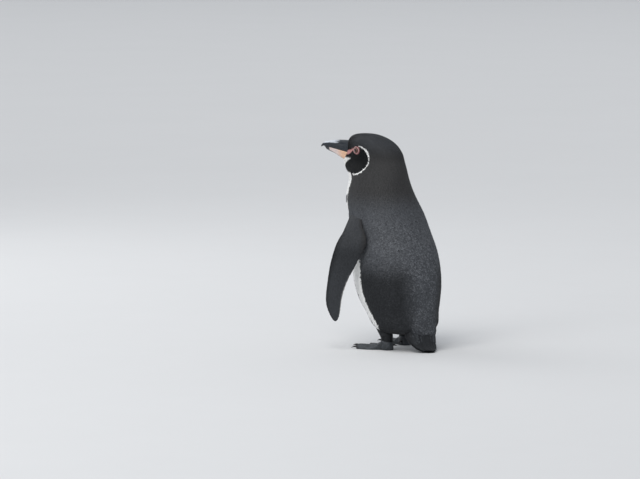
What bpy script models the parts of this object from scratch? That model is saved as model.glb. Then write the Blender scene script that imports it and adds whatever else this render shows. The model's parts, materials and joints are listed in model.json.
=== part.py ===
"""Galapagos penguin, adult, standing: a life-size still model in one named object per body part.

The bird faces -Y, its left side is +X and the soles stand on z = 0. The head, neck and trunk are one
run of level slices, parted by two thin cuts, so their outline carries on from piece to piece.
Flippers, tail, legs and bill start inside the body and are trimmed back to its surface.
"""
import math

import bmesh
import bpy
import numpy as np
from mathutils import Matrix, Vector

MM = 0.001
GAP = 0.3 * MM                 # clear space between neighbouring pieces
RING_SIDES = 44                # sides of a body slice

# Body slices, in mm: height, middle in y, half width, depth to the front, depth to the back, and
# the front's power (2 is round, less is pointed).
BODY_SLICES = (
    (25, 22, 55, 48, 50, 2.0),
    (57, 11, 58, 56, 56, 2.0),
    (77, 6, 63, 66, 62, 2.1),
    (100, 1, 67.5, 73, 68, 2.0),
    (128, -3, 69, 75, 69, 2.0),
    (156, -9, 67.5, 73, 68, 2.0),
    (187, -20, 63.5, 68, 65, 2.0),
    (219, -31, 58, 61, 61, 2.1),
    (234, -38, 54, 61, 60, 2.1),
    (250, -41, 49, 58, 56, 2.0),
    (272, -44, 41, 51, 54, 1.9),
    (289, -47, 35, 60, 54, 1.5),
    (297, -48, 32, 61, 53, 1.4),
    (313, -48, 28.5, 53, 48, 1.6),
    (321, -51, 28, 48, 44, 1.8),
    (329, -57, 27, 43, 41, 2.1),
    (342, -69, 26, 37, 33, 2.2),
)
BODY_BOTTOM, BOTTOM_CAP, BOTTOM_POWER = 25 * MM, 31 * MM, 3.2
CROWN, CROWN_CAP, CROWN_POWER = 341.7 * MM, 25 * MM, 2.8
BACK_POWER = 2.1
TRUNK_TOP = 236 * MM           # cut between trunk and neck
NECK_TOP = 279 * MM            # cut between neck and head

# The head looks a little to the bird's left.
HEAD_TURN = math.radians(16)
HEAD_SHIFT = 8 * MM            # how far the turned head moves to the left
TURN_START, TURN_END = 210 * MM, 310 * MM

HEAD_AXIS = (8 * MM, -49 * MM)  # middle of the slice at the level of the eyes
EYE_RADIUS = 6.5 * MM
EYE_FORWARD, EYE_LEFT, EYE_HEIGHT = 18 * MM, 21.2 * MM, 316.2 * MM

# Bill, in mm: distance ahead of the forehead, culmen height, gape height, underside height, and
# half width. The lower half ends before the hooked tip of the upper one.
BILL_BASE = 47.5 * MM          # the forehead, ahead of HEAD_AXIS
BILL_STATIONS = (
    (-16, 328, 308.5, 294, 9.0),
    (0, 329.6, 311, 296, 8.2),
    (14, 329.8, 313.4, 300.5, 7.2),
    (28, 329.2, 315.8, 307.4, 6.0),
    (40, 327.6, 317.8, 311.8, 4.7),
    (48, 325.4, 319, 315, 3.5),
    (53, 322.8, 318.6, 316.8, 2.3),
    (55.7, 319.6, 317.2, 317, 1.1),
)
LOWER_BILL_END = 49            # mm ahead of the forehead

# Flippers, in mm: height, middle in x and y, chord, chord's turn outward in degrees, thickness.
FLIPPER_SLICES = (
    (230, 38, -38, 26, -8, 11),
    (213, 54, -39, 31, -6, 12.5),
    (200, 65, -32, 36, 2, 11.5),
    (188, 73, -24, 42, 16, 10),
    (176, 80.5, -20, 48, 27, 9),
    (144, 91.5, -26, 43.5, 35, 7.5),
    (112, 100, -33, 32, 38, 6),
    (80, 104.5, -37, 25, 37, 4.6),
    (48, 103.5, -34, 19, 30, 3.4),
)
FLIPPER_TIP, FLIPPER_CAP = 47.6 * MM, 30 * MM
FLIPPER_SIDES = 20

# Tail, in mm: middle in y and z, half width and half thickness, from inside the rump to the tip.
TAIL_STATIONS = (
    (34, 62, 30, 22),
    (45, 43, 30, 18.5),
    (55, 25, 28, 13),
    (64, 12, 23.5, 7),
    (74, 4.3, 17, 3.4),
    (85, 1.4, 9, 1.4),
)
TAIL_SIDES = 18

# Legs and feet.
STANCE = 30 * MM               # ankle's distance from the middle plane
ANKLE_BACK = 8 * MM            # ankle of the left leg in y
STRIDE = 26 * MM               # how far the right foot stands ahead of the left one
FOOT_SPLAY = math.radians(15)  # toes turned out
ANKLE_TOP, ANKLE_RADIUS = 15 * MM, 8.5 * MM
# Shank, in mm: height, half width and half depth, from inside the trunk down to the ankle.
LEG_STATIONS = ((60, 17, 19), (44, 16, 18), (30, 12.5, 14), (20, 9.4, 10.6), (15.3, 8.6, 9.6))
LEG_SIDES = 18
HEEL_RADIUS = 10 * MM
WEB_REACH = 41 * MM
WEB_THICKNESS = 2.4 * MM
SOLE_EDGE = 0.9 * MM           # rounding between the sole and the upper side
FOOT_SHARES = (0.3, 0.5, 0.72, 0.9, 0.97)  # rings of the upper side, as shares of the reach
TOE_HEIGHT = 7 * MM
TOE_ANGLES = (-25, 0, 23)      # degrees from the foot's own axis, inner toe first
TOE_REACH = (49, 59, 51)       # mm from the ankle to the end of each toe's pad
TOE_HALF_ANGLE = 6.5           # degrees
FAN_HALF_ANGLE = 38            # degrees, to the outer edges of the fan of toes
CLAW_LENGTH, CLAW_RADIUS = 8.5 * MM, 2.1 * MM
HALLUX_ANGLE, HALLUX_HEIGHT = -118, 6.5 * MM

COLOURS = {
    "slate": (0.045, 0.052, 0.060),
    "black": (0.012, 0.014, 0.015),
    "bill_dark": (0.035, 0.042, 0.050),
    "bill_pale": (0.62, 0.47, 0.37),
    "eye": (0.055, 0.018, 0.010),
    "foot": (0.030, 0.034, 0.038),
    "claw": (0.016, 0.015, 0.015),
}


# ---------------------------------------------------------------- curves and slices

def track(knots, values, at):
    """Read a smooth curve through (knots, values) at the places `at` (cubic Hermite)."""
    knots, values, at = (np.asarray(a, dtype=float) for a in (knots, values, at))
    slopes = np.gradient(values, knots)
    cell = np.clip(np.searchsorted(knots, at) - 1, 0, len(knots) - 2)
    span = knots[cell + 1] - knots[cell]
    t = (at - knots[cell]) / span
    return ((1 + 2 * t) * (1 - t) ** 2 * values[cell] + t * (1 - t) ** 2 * span * slopes[cell]
            + t * t * (3 - 2 * t) * values[cell + 1] + t * t * (t - 1) * span * slopes[cell + 1])


def columns(stations, at):
    """Read every column of a station table at one place of its first column."""
    table = np.array(stations, dtype=float)
    order = np.argsort(table[:, 0])
    table = table[order]
    return [float(track(table[:, 0], table[:, c], at)) for c in range(1, table.shape[1])]


def smoothstep(low, high, value):
    t = min(max((value - low) / (high - low), 0.0), 1.0)
    return t * t * (3 - 2 * t)


def round_power(values, power):
    return np.sign(values) * np.abs(values) ** (2.0 / power)


def cap_scale(distance, cap, power):
    """Share of its full size that a slice keeps, `distance` inside a rounded end."""
    inside = min(max(1 - distance / cap, 0.0), 1.0)
    return (1 - inside ** power) ** (1 / power)


def body_ring(height, grow=0.0):
    """Closed ring of points of the body's outline at one height, moved out by `grow`."""
    middle, wide, front, back, power = columns(BODY_SLICES, height / MM)
    scale = (cap_scale(height - BODY_BOTTOM, BOTTOM_CAP, BOTTOM_POWER)
             * cap_scale(CROWN - height, CROWN_CAP, CROWN_POWER))
    angles = np.linspace(0, 2 * math.pi, RING_SIDES, endpoint=False)
    side, ahead = np.cos(angles), np.sin(angles)
    powers = np.where(ahead < 0, power, BACK_POWER)
    across = round_power(side, powers) * (wide * MM * scale + grow)
    depth = np.where(ahead < 0, front, back) * MM * scale + grow
    along = round_power(ahead, powers) * depth
    turn = HEAD_TURN * smoothstep(TURN_START, TURN_END, height)
    shift = HEAD_SHIFT * smoothstep(TURN_START, TURN_END, height)
    x = shift + across * math.cos(turn) - along * math.sin(turn)
    y = middle * MM + across * math.sin(turn) + along * math.cos(turn)
    return np.column_stack([x, y, np.full(RING_SIDES, height)])


def capped_heights(end, cap, power, steps, sign):
    """Heights of the slices of a rounded end, closer together toward the end itself."""
    angles = np.linspace(0, math.pi / 2, steps + 1)[1:]
    return [end + sign * cap * (1 - math.cos(a) ** (2 / power)) for a in angles]


def head_point(forward, left, height):
    """World point from distances ahead and to the left of the head's own axis."""
    ahead = np.array([math.sin(HEAD_TURN), -math.cos(HEAD_TURN)])
    aside = np.array([math.cos(HEAD_TURN), math.sin(HEAD_TURN)])
    x, y = np.array(HEAD_AXIS) + forward * ahead + left * aside
    return Vector((x, y, height))


# ---------------------------------------------------------------- mesh helpers

def clear_scene():
    for obj in list(bpy.data.objects):
        bpy.data.objects.remove(obj, do_unlink=True)


def make_collection(name):
    collection = bpy.data.collections.new(name)
    bpy.context.scene.collection.children.link(collection)
    return collection


def material(name, colour, roughness):
    mat = bpy.data.materials.new(name)
    mat.use_nodes = True
    shader = mat.node_tree.nodes["Principled BSDF"]
    shader.inputs["Base Color"].default_value = (*colour, 1)
    shader.inputs["Roughness"].default_value = roughness
    shader.inputs["Metallic"].default_value = 0.0
    mat.diffuse_color = (*colour, 1)
    return mat


def add_object(name, mesh, collection, mat=None, parent=None):
    obj = bpy.data.objects.new(name, mesh)
    collection.objects.link(obj)
    obj.parent = parent
    if mat:
        mesh.materials.append(mat)
    return obj


def mesh_from_bmesh(name, bm):
    bmesh.ops.recalc_face_normals(bm, faces=bm.faces)
    mesh = bpy.data.meshes.new(name)
    bm.to_mesh(mesh)
    bm.free()
    return mesh


def loft(name, rings, first_pole=None, last_pole=None):
    """Closed mesh through rings of equal length; an end is flat unless it has a pole point."""
    bm = bmesh.new()
    rows = [[bm.verts.new(p) for p in ring] for ring in rings]
    count = len(rows[0])
    for lower, upper in zip(rows, rows[1:]):
        for i in range(count):
            j = (i + 1) % count
            bm.faces.new((lower[i], lower[j], upper[j], upper[i]))
    for row, pole in ((rows[0], first_pole), (rows[-1], last_pole)):
        if pole is None:
            bm.faces.new(row)
            continue
        tip = bm.verts.new(pole)
        for i in range(count):
            bm.faces.new((row[i], row[(i + 1) % count], tip))
    return mesh_from_bmesh(name, bm)


def subtract(obj, cutter):
    """Cut `cutter` out of `obj` with an exact Boolean."""
    cut = obj.modifiers.new("trim_" + cutter.name, "BOOLEAN")
    cut.operation = "DIFFERENCE"
    cut.solver = "EXACT"
    cut.object = cutter


def as_guide(obj):
    obj.hide_render = True
    obj.display_type = "WIRE"
    return obj


# ---------------------------------------------------------------- head, neck and trunk

def body_pole(height):
    return body_ring(height).mean(axis=0)


def trunk_mesh(name, grow=0.0):
    low = capped_heights(BODY_BOTTOM, BOTTOM_CAP, BOTTOM_POWER, 5, 1)
    heights = low + list(np.linspace(low[-1], TRUNK_TOP + grow, 12)[1:])
    rings = [body_ring(h, grow) for h in heights]
    return loft(name, rings, first_pole=body_pole(BODY_BOTTOM) - np.array([0, 0, grow]))


def neck_mesh(name):
    heights = np.linspace(TRUNK_TOP + GAP, NECK_TOP, 5)
    return loft(name, [body_ring(h) for h in heights])


def head_mesh(name, grow=0.0):
    top = capped_heights(CROWN, CROWN_CAP, CROWN_POWER, 6, -1)[::-1]
    heights = list(np.linspace(NECK_TOP + GAP, top[0], 7)[:-1]) + top
    rings = [body_ring(h, grow) for h in heights]
    return loft(name, rings, last_pole=body_pole(CROWN) + np.array([0, 0, grow]))


def eyeball(name, side, radius):
    """Round eye on one side of the head (side is 1 for the left, -1 for the right)."""
    bm = bmesh.new()
    bmesh.ops.create_uvsphere(bm, u_segments=16, v_segments=10, radius=radius)
    mesh = mesh_from_bmesh(name, bm)
    place = head_point(EYE_FORWARD, side * EYE_LEFT, EYE_HEIGHT)
    return mesh, Matrix.Translation(place)


# ---------------------------------------------------------------- bill

def bill_section(reach, upper):
    """Half-round section of one half of the bill, flat along the gape, at `reach` mm."""
    culmen, gape, under, wide = columns(BILL_STATIONS, reach)
    angles = np.linspace(0, math.pi, 9)
    left = wide * MM * round_power(np.cos(angles), 2.4)
    rise = np.sin(angles)
    if upper:
        height = gape * MM + GAP / 2 + (culmen - gape) * MM * rise
    else:
        height = gape * MM - GAP / 2 - (gape - under) * MM * rise
    return [head_point(BILL_BASE + reach * MM, a, h) for a, h in zip(left, height)]


def bill_mesh(name, upper):
    end = BILL_STATIONS[-1][0] if upper else LOWER_BILL_END
    places = np.linspace(BILL_STATIONS[0][0], end, 11)
    return loft(name, [bill_section(p, upper) for p in places])


# ---------------------------------------------------------------- flippers and tail

def flipper_ring(height, side):
    """Lens-shaped slice of a flipper, fuller along its leading edge."""
    x, y, chord, turn, thick = columns(FLIPPER_SLICES, height / MM)
    scale = cap_scale(height - FLIPPER_TIP, FLIPPER_CAP, 2.0)
    angles = np.linspace(0, 2 * math.pi, FLIPPER_SIDES, endpoint=False)
    along = chord / 2 * scale * np.cos(angles)
    fullness = 0.72 + 0.28 * np.cos(angles)
    across = thick / 2 * math.sqrt(scale) * np.sin(angles) * fullness
    turn = math.radians(turn)
    px = x + along * math.sin(turn) + across * math.cos(turn)
    py = y - along * math.cos(turn) + across * math.sin(turn)
    return np.column_stack([side * px, py, np.full(FLIPPER_SIDES, height / MM)]) * MM


def flipper_mesh(name, side):
    tip = capped_heights(FLIPPER_TIP, FLIPPER_CAP, 2.0, 5, 1)
    heights = tip + list(np.linspace(tip[-1], FLIPPER_SLICES[0][0] * MM, 17)[1:])
    rings = [flipper_ring(h, side) for h in heights]
    return loft(name, rings, first_pole=flipper_ring(FLIPPER_TIP, side).mean(axis=0))


def tail_station(place):
    """Middle, half width and half thickness of the tail at a place counted in stations."""
    return [float(track(range(len(TAIL_STATIONS)), column, place)) for column in zip(*TAIL_STATIONS)]


def tail_ring(place):
    """Flat oval across the tail's path, its underside never below the floor."""
    y, z, wide, thick = tail_station(place)
    next_y, next_z, _, _ = tail_station(place + 0.01)
    run = np.array([next_y - y, next_z - z])
    run /= np.linalg.norm(run)
    angles = np.linspace(0, 2 * math.pi, TAIL_SIDES, endpoint=False)
    across = round_power(np.cos(angles), 2.8) * wide
    lift = round_power(np.sin(angles), 2.4) * thick
    py = y - run[1] * lift
    pz = np.maximum(z + run[0] * lift, 0.0)
    return np.column_stack([across, py, pz]) * MM


def tail_mesh(name):
    places = np.linspace(0, len(TAIL_STATIONS) - 1.02, 12)
    return loft(name, [tail_ring(p) for p in places])


# ---------------------------------------------------------------- legs and feet

def ankle(side):
    return Vector((side * STANCE, ANKLE_BACK - (STRIDE if side < 0 else 0.0), 0.0))


def leg_mesh(name, side):
    """Short feathered shank from inside the trunk down to the ankle."""
    foot = ankle(side)
    hip = Vector((side * STANCE, ANKLE_BACK - STRIDE * 0.5, 0.0))
    rings = []
    top = LEG_STATIONS[0][0]
    for height, wide, deep in LEG_STATIONS:
        middle = foot.lerp(hip, (height * MM - ANKLE_TOP) / (top * MM - ANKLE_TOP))
        angles = np.linspace(0, 2 * math.pi, LEG_SIDES, endpoint=False)
        rings.append(np.column_stack([middle.x + wide * MM * np.cos(angles),
                                      middle.y + deep * MM * np.sin(angles),
                                      np.full(LEG_SIDES, height * MM)]))
    return loft(name, rings)


def foot_reach(angle):
    """Distance from the ankle to the edge of the webbed foot, at an angle in degrees."""
    fan = 1 / (1 + (abs(angle) / FAN_HALF_ANGLE) ** 10)
    reach = HEEL_RADIUS + (WEB_REACH - HEEL_RADIUS) * fan
    for middle, length in zip(TOE_ANGLES, TOE_REACH):
        reach += (length * MM - WEB_REACH) * math.exp(-((angle - middle) / TOE_HALF_ANGLE) ** 2)
    return reach


def foot_rise(angle, share, reach):
    """Height of the top of the foot: instep, three toe ridges and thin webs between them."""
    distance = share * reach
    instep = 1 / (1 + (distance / (1.45 * HEEL_RADIUS)) ** 4)
    ridge = sum(math.exp(-((angle - middle) / TOE_HALF_ANGLE) ** 2) for middle in TOE_ANGLES)
    ridge *= (TOE_HEIGHT - WEB_THICKNESS) * (1 - 0.25 * share)
    edge = math.sqrt(max(1 - share ** 24, 0.0))
    rise = WEB_THICKNESS + ridge * min(share * 3, 1.0)
    return (rise + (ANKLE_TOP - rise) * instep) * edge


def foot_angles():
    """Directions round the foot, closest together across the toes."""
    front = np.linspace(-46, 46, 41)
    back = np.linspace(46, 314, 15)[1:-1]
    return [*front, *back]


def foot_mesh(name, side):
    """Webbed foot on a flat sole, with the ankle over the origin and the toes toward -Y."""
    rings = [[] for _ in range(len(FOOT_SHARES) + 3)]
    for angle in foot_angles():
        wrapped = angle - 360 if angle > 180 else angle
        reach = foot_reach(wrapped)
        out = Vector((side * math.sin(math.radians(angle)), -math.cos(math.radians(angle)), 0))
        profile = [(ANKLE_RADIUS, ANKLE_TOP)]
        profile += [(max(share * reach, ANKLE_RADIUS + GAP / 2), foot_rise(wrapped, share, reach))
                    for share in FOOT_SHARES]
        profile += [(reach, SOLE_EDGE), (reach - SOLE_EDGE, 0.0)]
        for ring, (radius, rise) in zip(rings, profile):
            ring.append(out * radius + Vector((0, 0, rise)))
    return loft(name, rings)


def claw_mesh(name):
    """Curved pointed claw along -Y, with its root at the origin."""
    bm = bmesh.new()
    made = bmesh.ops.create_cone(bm, cap_ends=True, segments=8, radius1=CLAW_RADIUS,
                                 radius2=0.25 * CLAW_RADIUS, depth=CLAW_LENGTH)
    bmesh.ops.subdivide_edges(
        bm, edges=[e for e in bm.edges if abs(e.verts[0].co.z - e.verts[1].co.z) > CLAW_LENGTH / 2],
        cuts=3)
    turn = Matrix.Rotation(math.radians(90), 4, "X")
    bmesh.ops.transform(bm, matrix=turn, verts=bm.verts)
    for vert in bm.verts:
        share = (CLAW_LENGTH / 2 - vert.co.y) / CLAW_LENGTH
        vert.co.y -= CLAW_LENGTH / 2
        vert.co.z -= 1.5 * MM * share ** 2
    return mesh_from_bmesh(name, bm)


def claw_places():
    """Direction in degrees, distance and height of each claw's root, from the ankle."""
    fronts = [(angle, reach * MM + GAP, 3.2 * MM) for angle, reach in zip(TOE_ANGLES, TOE_REACH)]
    return [*fronts, (HALLUX_ANGLE, HEEL_RADIUS + GAP, HALLUX_HEIGHT)]


# ---------------------------------------------------------------- assembly

def build_body(parts, guides, root, mats):
    trunk_guide = as_guide(add_object("guide_trunk", trunk_mesh("guide_trunk", GAP), guides, None, root))
    head_guide = as_guide(add_object("guide_head", head_mesh("guide_head", GAP), guides, None, root))
    add_object("trunk", trunk_mesh("trunk"), parts, mats["slate"], root)
    add_object("neck", neck_mesh("neck"), parts, mats["slate"], root)
    head = add_object("head", head_mesh("head"), parts, mats["slate"], root)
    for side, word in ((1, "left"), (-1, "right")):
        mesh, place = eyeball("eye_" + word, side, EYE_RADIUS)
        add_object("eye_" + word, mesh, parts, mats["eye"], root).matrix_local = place
        mesh, place = eyeball("guide_socket_" + word, side, EYE_RADIUS + GAP)
        socket = as_guide(add_object("guide_socket_" + word, mesh, guides, None, root))
        socket.matrix_local = place
        subtract(head, socket)
    for name, upper, colour in (("bill_upper", True, "bill_dark"), ("bill_lower", False, "bill_pale")):
        subtract(add_object(name, bill_mesh(name, upper), parts, mats[colour], root), head_guide)
    return trunk_guide


def build_limbs(parts, root, mats, trunk_guide):
    subtract(add_object("tail", tail_mesh("tail"), parts, mats["black"], root), trunk_guide)
    for side, word in ((1, "left"), (-1, "right")):
        name = "flipper_" + word
        subtract(add_object(name, flipper_mesh(name, side), parts, mats["slate"], root), trunk_guide)
        name = "leg_" + word
        subtract(add_object(name, leg_mesh(name, side), parts, mats["black"], root), trunk_guide)
        foot = add_object("foot_" + word, foot_mesh("foot_" + word, side), parts, mats["foot"], root)
        foot.location = ankle(side)
        foot.rotation_euler.z = side * FOOT_SPLAY
        for (angle, reach, height), toe in zip(claw_places(), ("inner", "middle", "outer", "hind")):
            name = f"claw_{toe}_{word}"
            claw = add_object(name, claw_mesh(name), parts, mats["claw"], foot)
            turn = side * math.radians(angle)
            claw.location = (math.sin(turn) * reach, -math.cos(turn) * reach, height)
            claw.rotation_euler.z = turn


def centre_on_floor(root, parts):
    """Move the whole bird so that its bounding box stands centred on the origin."""
    bpy.context.view_layer.update()
    graph = bpy.context.evaluated_depsgraph_get()
    corners = []
    for obj in parts.objects:
        shown = obj.evaluated_get(graph)
        corners += [shown.matrix_world @ v.co for v in shown.data.vertices]
    points = np.array(corners)
    middle = (points.min(axis=0) + points.max(axis=0)) / 2
    root.location = (-middle[0], -middle[1], 0.0)
    bpy.context.view_layer.update()


def main():
    clear_scene()
    parts = make_collection("penguin")
    guides = make_collection("cutters")
    root = bpy.data.objects.new("penguin_root", None)
    parts.objects.link(root)
    mats = {name: material(name, colour, 0.35 if name in ("eye", "bill_dark") else 0.7)
            for name, colour in COLOURS.items()}
    trunk_guide = build_body(parts, guides, root, mats)
    build_limbs(parts, root, mats, trunk_guide)
    parts.objects.unlink(root)
    bpy.context.scene.collection.objects.link(root)
    centre_on_floor(root, parts)


main()
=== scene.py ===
"""Looks of the Galapagos penguin: one skin, its feathers, bill, eyes, claws, and a plain studio.

Every shape is worked out in the bird's own frame, in millimetres: it faces -Y, its left side is +X
and the soles stand on z = 0. `make_piece` stores it in metres, and `Bird.place` moves it onto the
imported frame.
"""
import json
import logging
from dataclasses import dataclass, field
from enum import Enum
from math import pi
from typing import Callable, Sequence

import bpy
import numpy as np
from numpy import (append, arange, array, clip, concatenate, cos, cross, hypot, interp, linspace, maximum,
                   meshgrid, minimum, radians, repeat, roll, sin, sqrt, stack, vstack, where, zeros)
from numpy.linalg import norm
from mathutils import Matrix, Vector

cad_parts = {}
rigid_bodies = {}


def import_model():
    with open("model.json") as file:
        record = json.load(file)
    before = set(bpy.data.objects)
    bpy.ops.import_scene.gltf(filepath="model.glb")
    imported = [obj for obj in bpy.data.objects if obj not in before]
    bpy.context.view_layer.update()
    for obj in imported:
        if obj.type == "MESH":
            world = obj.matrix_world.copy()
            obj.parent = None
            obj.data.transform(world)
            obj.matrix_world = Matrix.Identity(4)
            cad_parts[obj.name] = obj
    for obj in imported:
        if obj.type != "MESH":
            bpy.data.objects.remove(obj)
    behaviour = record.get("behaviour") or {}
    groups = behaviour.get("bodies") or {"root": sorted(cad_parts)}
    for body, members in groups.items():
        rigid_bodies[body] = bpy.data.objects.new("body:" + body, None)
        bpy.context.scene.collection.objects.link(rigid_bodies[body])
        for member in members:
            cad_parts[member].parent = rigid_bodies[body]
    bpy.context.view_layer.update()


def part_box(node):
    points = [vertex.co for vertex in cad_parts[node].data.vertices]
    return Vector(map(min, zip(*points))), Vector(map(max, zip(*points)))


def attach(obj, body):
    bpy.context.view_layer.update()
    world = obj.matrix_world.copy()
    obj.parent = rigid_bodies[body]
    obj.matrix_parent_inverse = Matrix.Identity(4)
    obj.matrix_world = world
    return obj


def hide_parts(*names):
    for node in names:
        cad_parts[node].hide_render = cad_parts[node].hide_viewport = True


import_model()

log = logging.getLogger("penguin")
Array = np.ndarray
Piece, Material = bpy.types.Object, bpy.types.Material
Tree, Node, Socket = bpy.types.NodeTree, bpy.types.Node, bpy.types.NodeSocket

MM = 0.001              # metres in the unit of all forms
TAU = 2 * pi
GOLDEN = (sqrt(5) - 1) / 2


class Side(Enum):
    """Side of the bird, with the sign of its x."""

    LEFT = 1
    RIGHT = -1

    @property
    def word(self) -> str:
        """Name used in piece names."""
        return self.name.lower()


# ---- curves and vectors

def track(knots: Array, values: Array, at: Array) -> Array:
    """Smooth curve through (knots, values): cubic Hermite pieces whose slopes are central differences.

    Args:
        knots: increasing places.
        values: value at each knot.
        at: places to read.

    Returns:
        The curve's values at `at`.
    """
    knots, values, at = (np.asarray(a, dtype=float) for a in (knots, values, at))
    slopes = np.gradient(values, knots)
    cell = clip(np.searchsorted(knots, at) - 1, 0, len(knots) - 2)
    span = knots[cell + 1] - knots[cell]
    t = (at - knots[cell]) / span
    return ((1 + 2 * t) * (1 - t) ** 2 * values[cell] + t * (1 - t) ** 2 * span * slopes[cell]
            + t * t * (3 - 2 * t) * values[cell + 1] + t * t * (t - 1) * span * slopes[cell + 1])


def read_table(rows: tuple, at: Array) -> list[Array]:
    """Further columns of a table, each read at places as a smooth curve over the first column."""
    table = array(rows, dtype=float)
    return [track(table[:, 0], column, at) for column in table[:, 1:].T]


def ease(low: float, high: float, value: Array) -> Array:
    """Rise from 0 at `low` to 1 at `high` as 3t^2 - 2t^3."""
    t = clip((np.asarray(value, dtype=float) - low) / (high - low), 0, 1)
    return t * t * (3 - 2 * t)


def bump(distance: Array, radius: float) -> Array:
    """Bell of height 1 that fades as exp(-(distance / radius)^2)."""
    return np.exp(-(distance / radius) ** 2)


def round_power(values: Array, power: Array) -> Array:
    """Sine or cosine bent toward a superellipse: sign(v) |v|^(2 / power)."""
    return np.sign(values) * abs(values) ** (2 / power)


def cap_scale(distance: Array, cap: float, power: float) -> Array:
    """Share of its full size that a slice keeps, `distance` inside a rounded end of length `cap`."""
    inside = clip(1 - distance / cap, 0, 1)
    return (1 - inside ** power) ** (1 / power)


def unit(vectors: Array) -> Array:
    """Vectors scaled to length 1."""
    return vectors / maximum(norm(vectors, axis=-1, keepdims=True), 1e-12)


def dot(a: Array, b: Array) -> Array:
    """Row by row product, kept as a column."""
    return (a * b).sum(axis=-1, keepdims=True)


def near_line(points: Array, line: Array) -> Array:
    """Distance from each point to a bent line.

    Args:
        points: places.
        line: (m, 3) corners of the line.

    Returns:
        (n,) distances, each the least over the line's straight pieces.
    """
    start, run = line[:-1], np.diff(line, axis=0)
    offset = points[:, None, :] - start[None]
    share = clip((offset * run).sum(-1) / (run * run).sum(-1), 0, 1)
    return norm(offset - share[..., None] * run, axis=-1).min(axis=1)


# ---- meshes

def make_piece(name: str, points: Array, faces: Array, smooth: bool = True) -> Piece:
    """New object from whole arrays.

    Args:
        name: piece name.
        points: (n, 3) vertices.
        faces: (m, 3) or (m, 4) vertex numbers, turned outward.
        smooth: whether the faces are shaded smooth.

    Returns:
        The object, linked into the scene, at the origin.
    """
    mesh = bpy.data.meshes.new(name)
    count, corners = faces.shape
    mesh.vertices.add(len(points))
    mesh.vertices.foreach_set("co", np.asarray(points * MM, np.float32).ravel())
    mesh.loops.add(count * corners)
    mesh.loops.foreach_set("vertex_index", faces.astype(np.int32).ravel())
    mesh.polygons.add(count)
    mesh.polygons.foreach_set("loop_start", arange(count, dtype=np.int32) * corners)
    mesh.polygons.foreach_set("use_smooth", np.full(count, smooth))
    mesh.update(calc_edges=True)
    obj = bpy.data.objects.new(name, mesh)
    bpy.context.scene.collection.objects.link(obj)
    return obj


def closed_grid(grid: Array, first_pole: Array | None = None,
                last_pole: Array | None = None) -> tuple[Array, Array]:
    """Closed surface from rings of points: quads between rings, and a fan to each pole.

    Quads are returned as triangles so that the fans share their array.

    Args:
        grid: (rings, around, 3) points; the last column joins the first.
        first_pole: point that closes the first ring, or else the ring's mean.
        last_pole: the same for the last ring.

    Returns:
        Vertices and triangles.
    """
    rings, around, _ = grid.shape
    index = arange(rings * around).reshape(rings, around)
    a, b = index[:-1], roll(index, -1, axis=1)[:-1]
    c, d = roll(index, -1, axis=1)[1:], index[1:]
    quads = stack([a, b, c, a, c, d], axis=-1).reshape(-1, 3)
    start, end = rings * around, rings * around + 1
    first = stack([roll(index[0], -1), index[0], np.full(around, start)], axis=-1)
    last = stack([index[-1], roll(index[-1], -1), np.full(around, end)], axis=-1)
    poles = [end.mean(axis=0) if pole is None else pole
             for end, pole in ((grid[0], first_pole), (grid[-1], last_pole))]
    points = vstack([grid.reshape(-1, 3), *poles])
    return points, outward(points, vstack([quads, first, last]))


def outward(points: Array, triangles: Array) -> Array:
    """Triangles turned so that the volume they close, a sixth of the sum of a.(b x c), is positive."""
    a, b, c = (points[triangles[:, i]] for i in range(3))
    return triangles if (a * cross(b, c)).sum() > 0 else triangles[:, ::-1]


def grid_piece(name: str, grid: Array, *poles: Array) -> Piece:
    """Closed piece from rings and, where they are given, both poles."""
    return make_piece(name, *closed_grid(grid, *poles))


def set_attribute(obj: Piece, name: str, values: Array) -> None:
    """Store one number for each vertex under a name that a material can read."""
    layer = obj.data.attributes.new(name, "FLOAT", "POINT")
    layer.data.foreach_set("value", np.asarray(values, np.float32))


def set_unwrap(obj: Piece, places: Array, faces: Array) -> None:
    """Store the OFBake map: (n, 2) places of the vertices, read at each corner of the faces."""
    layer = obj.data.uv_layers.new(name="OFBake")
    layer.data.foreach_set("uv", places[faces.ravel()].astype(np.float32).ravel())


def fetch(rows: object, key: str, size: int = 1, kind: type = float) -> Array:
    """Read one property of all rows of a mesh as a whole array.

    Args:
        rows: the mesh's vertices, edges or an attribute's data.
        key: name of the property.
        size: numbers in a row.
        kind: type of the numbers.

    Returns:
        (rows, size) numbers.
    """
    flat = np.empty(len(rows) * size, kind)
    rows.foreach_get(key, flat)
    return flat.reshape(-1, size)


def vertices_of(obj: Piece) -> Array:
    """(n, 3) vertex places of a piece."""
    return fetch(obj.data.vertices, "co", 3) / MM


# ---- the body's form

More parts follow.
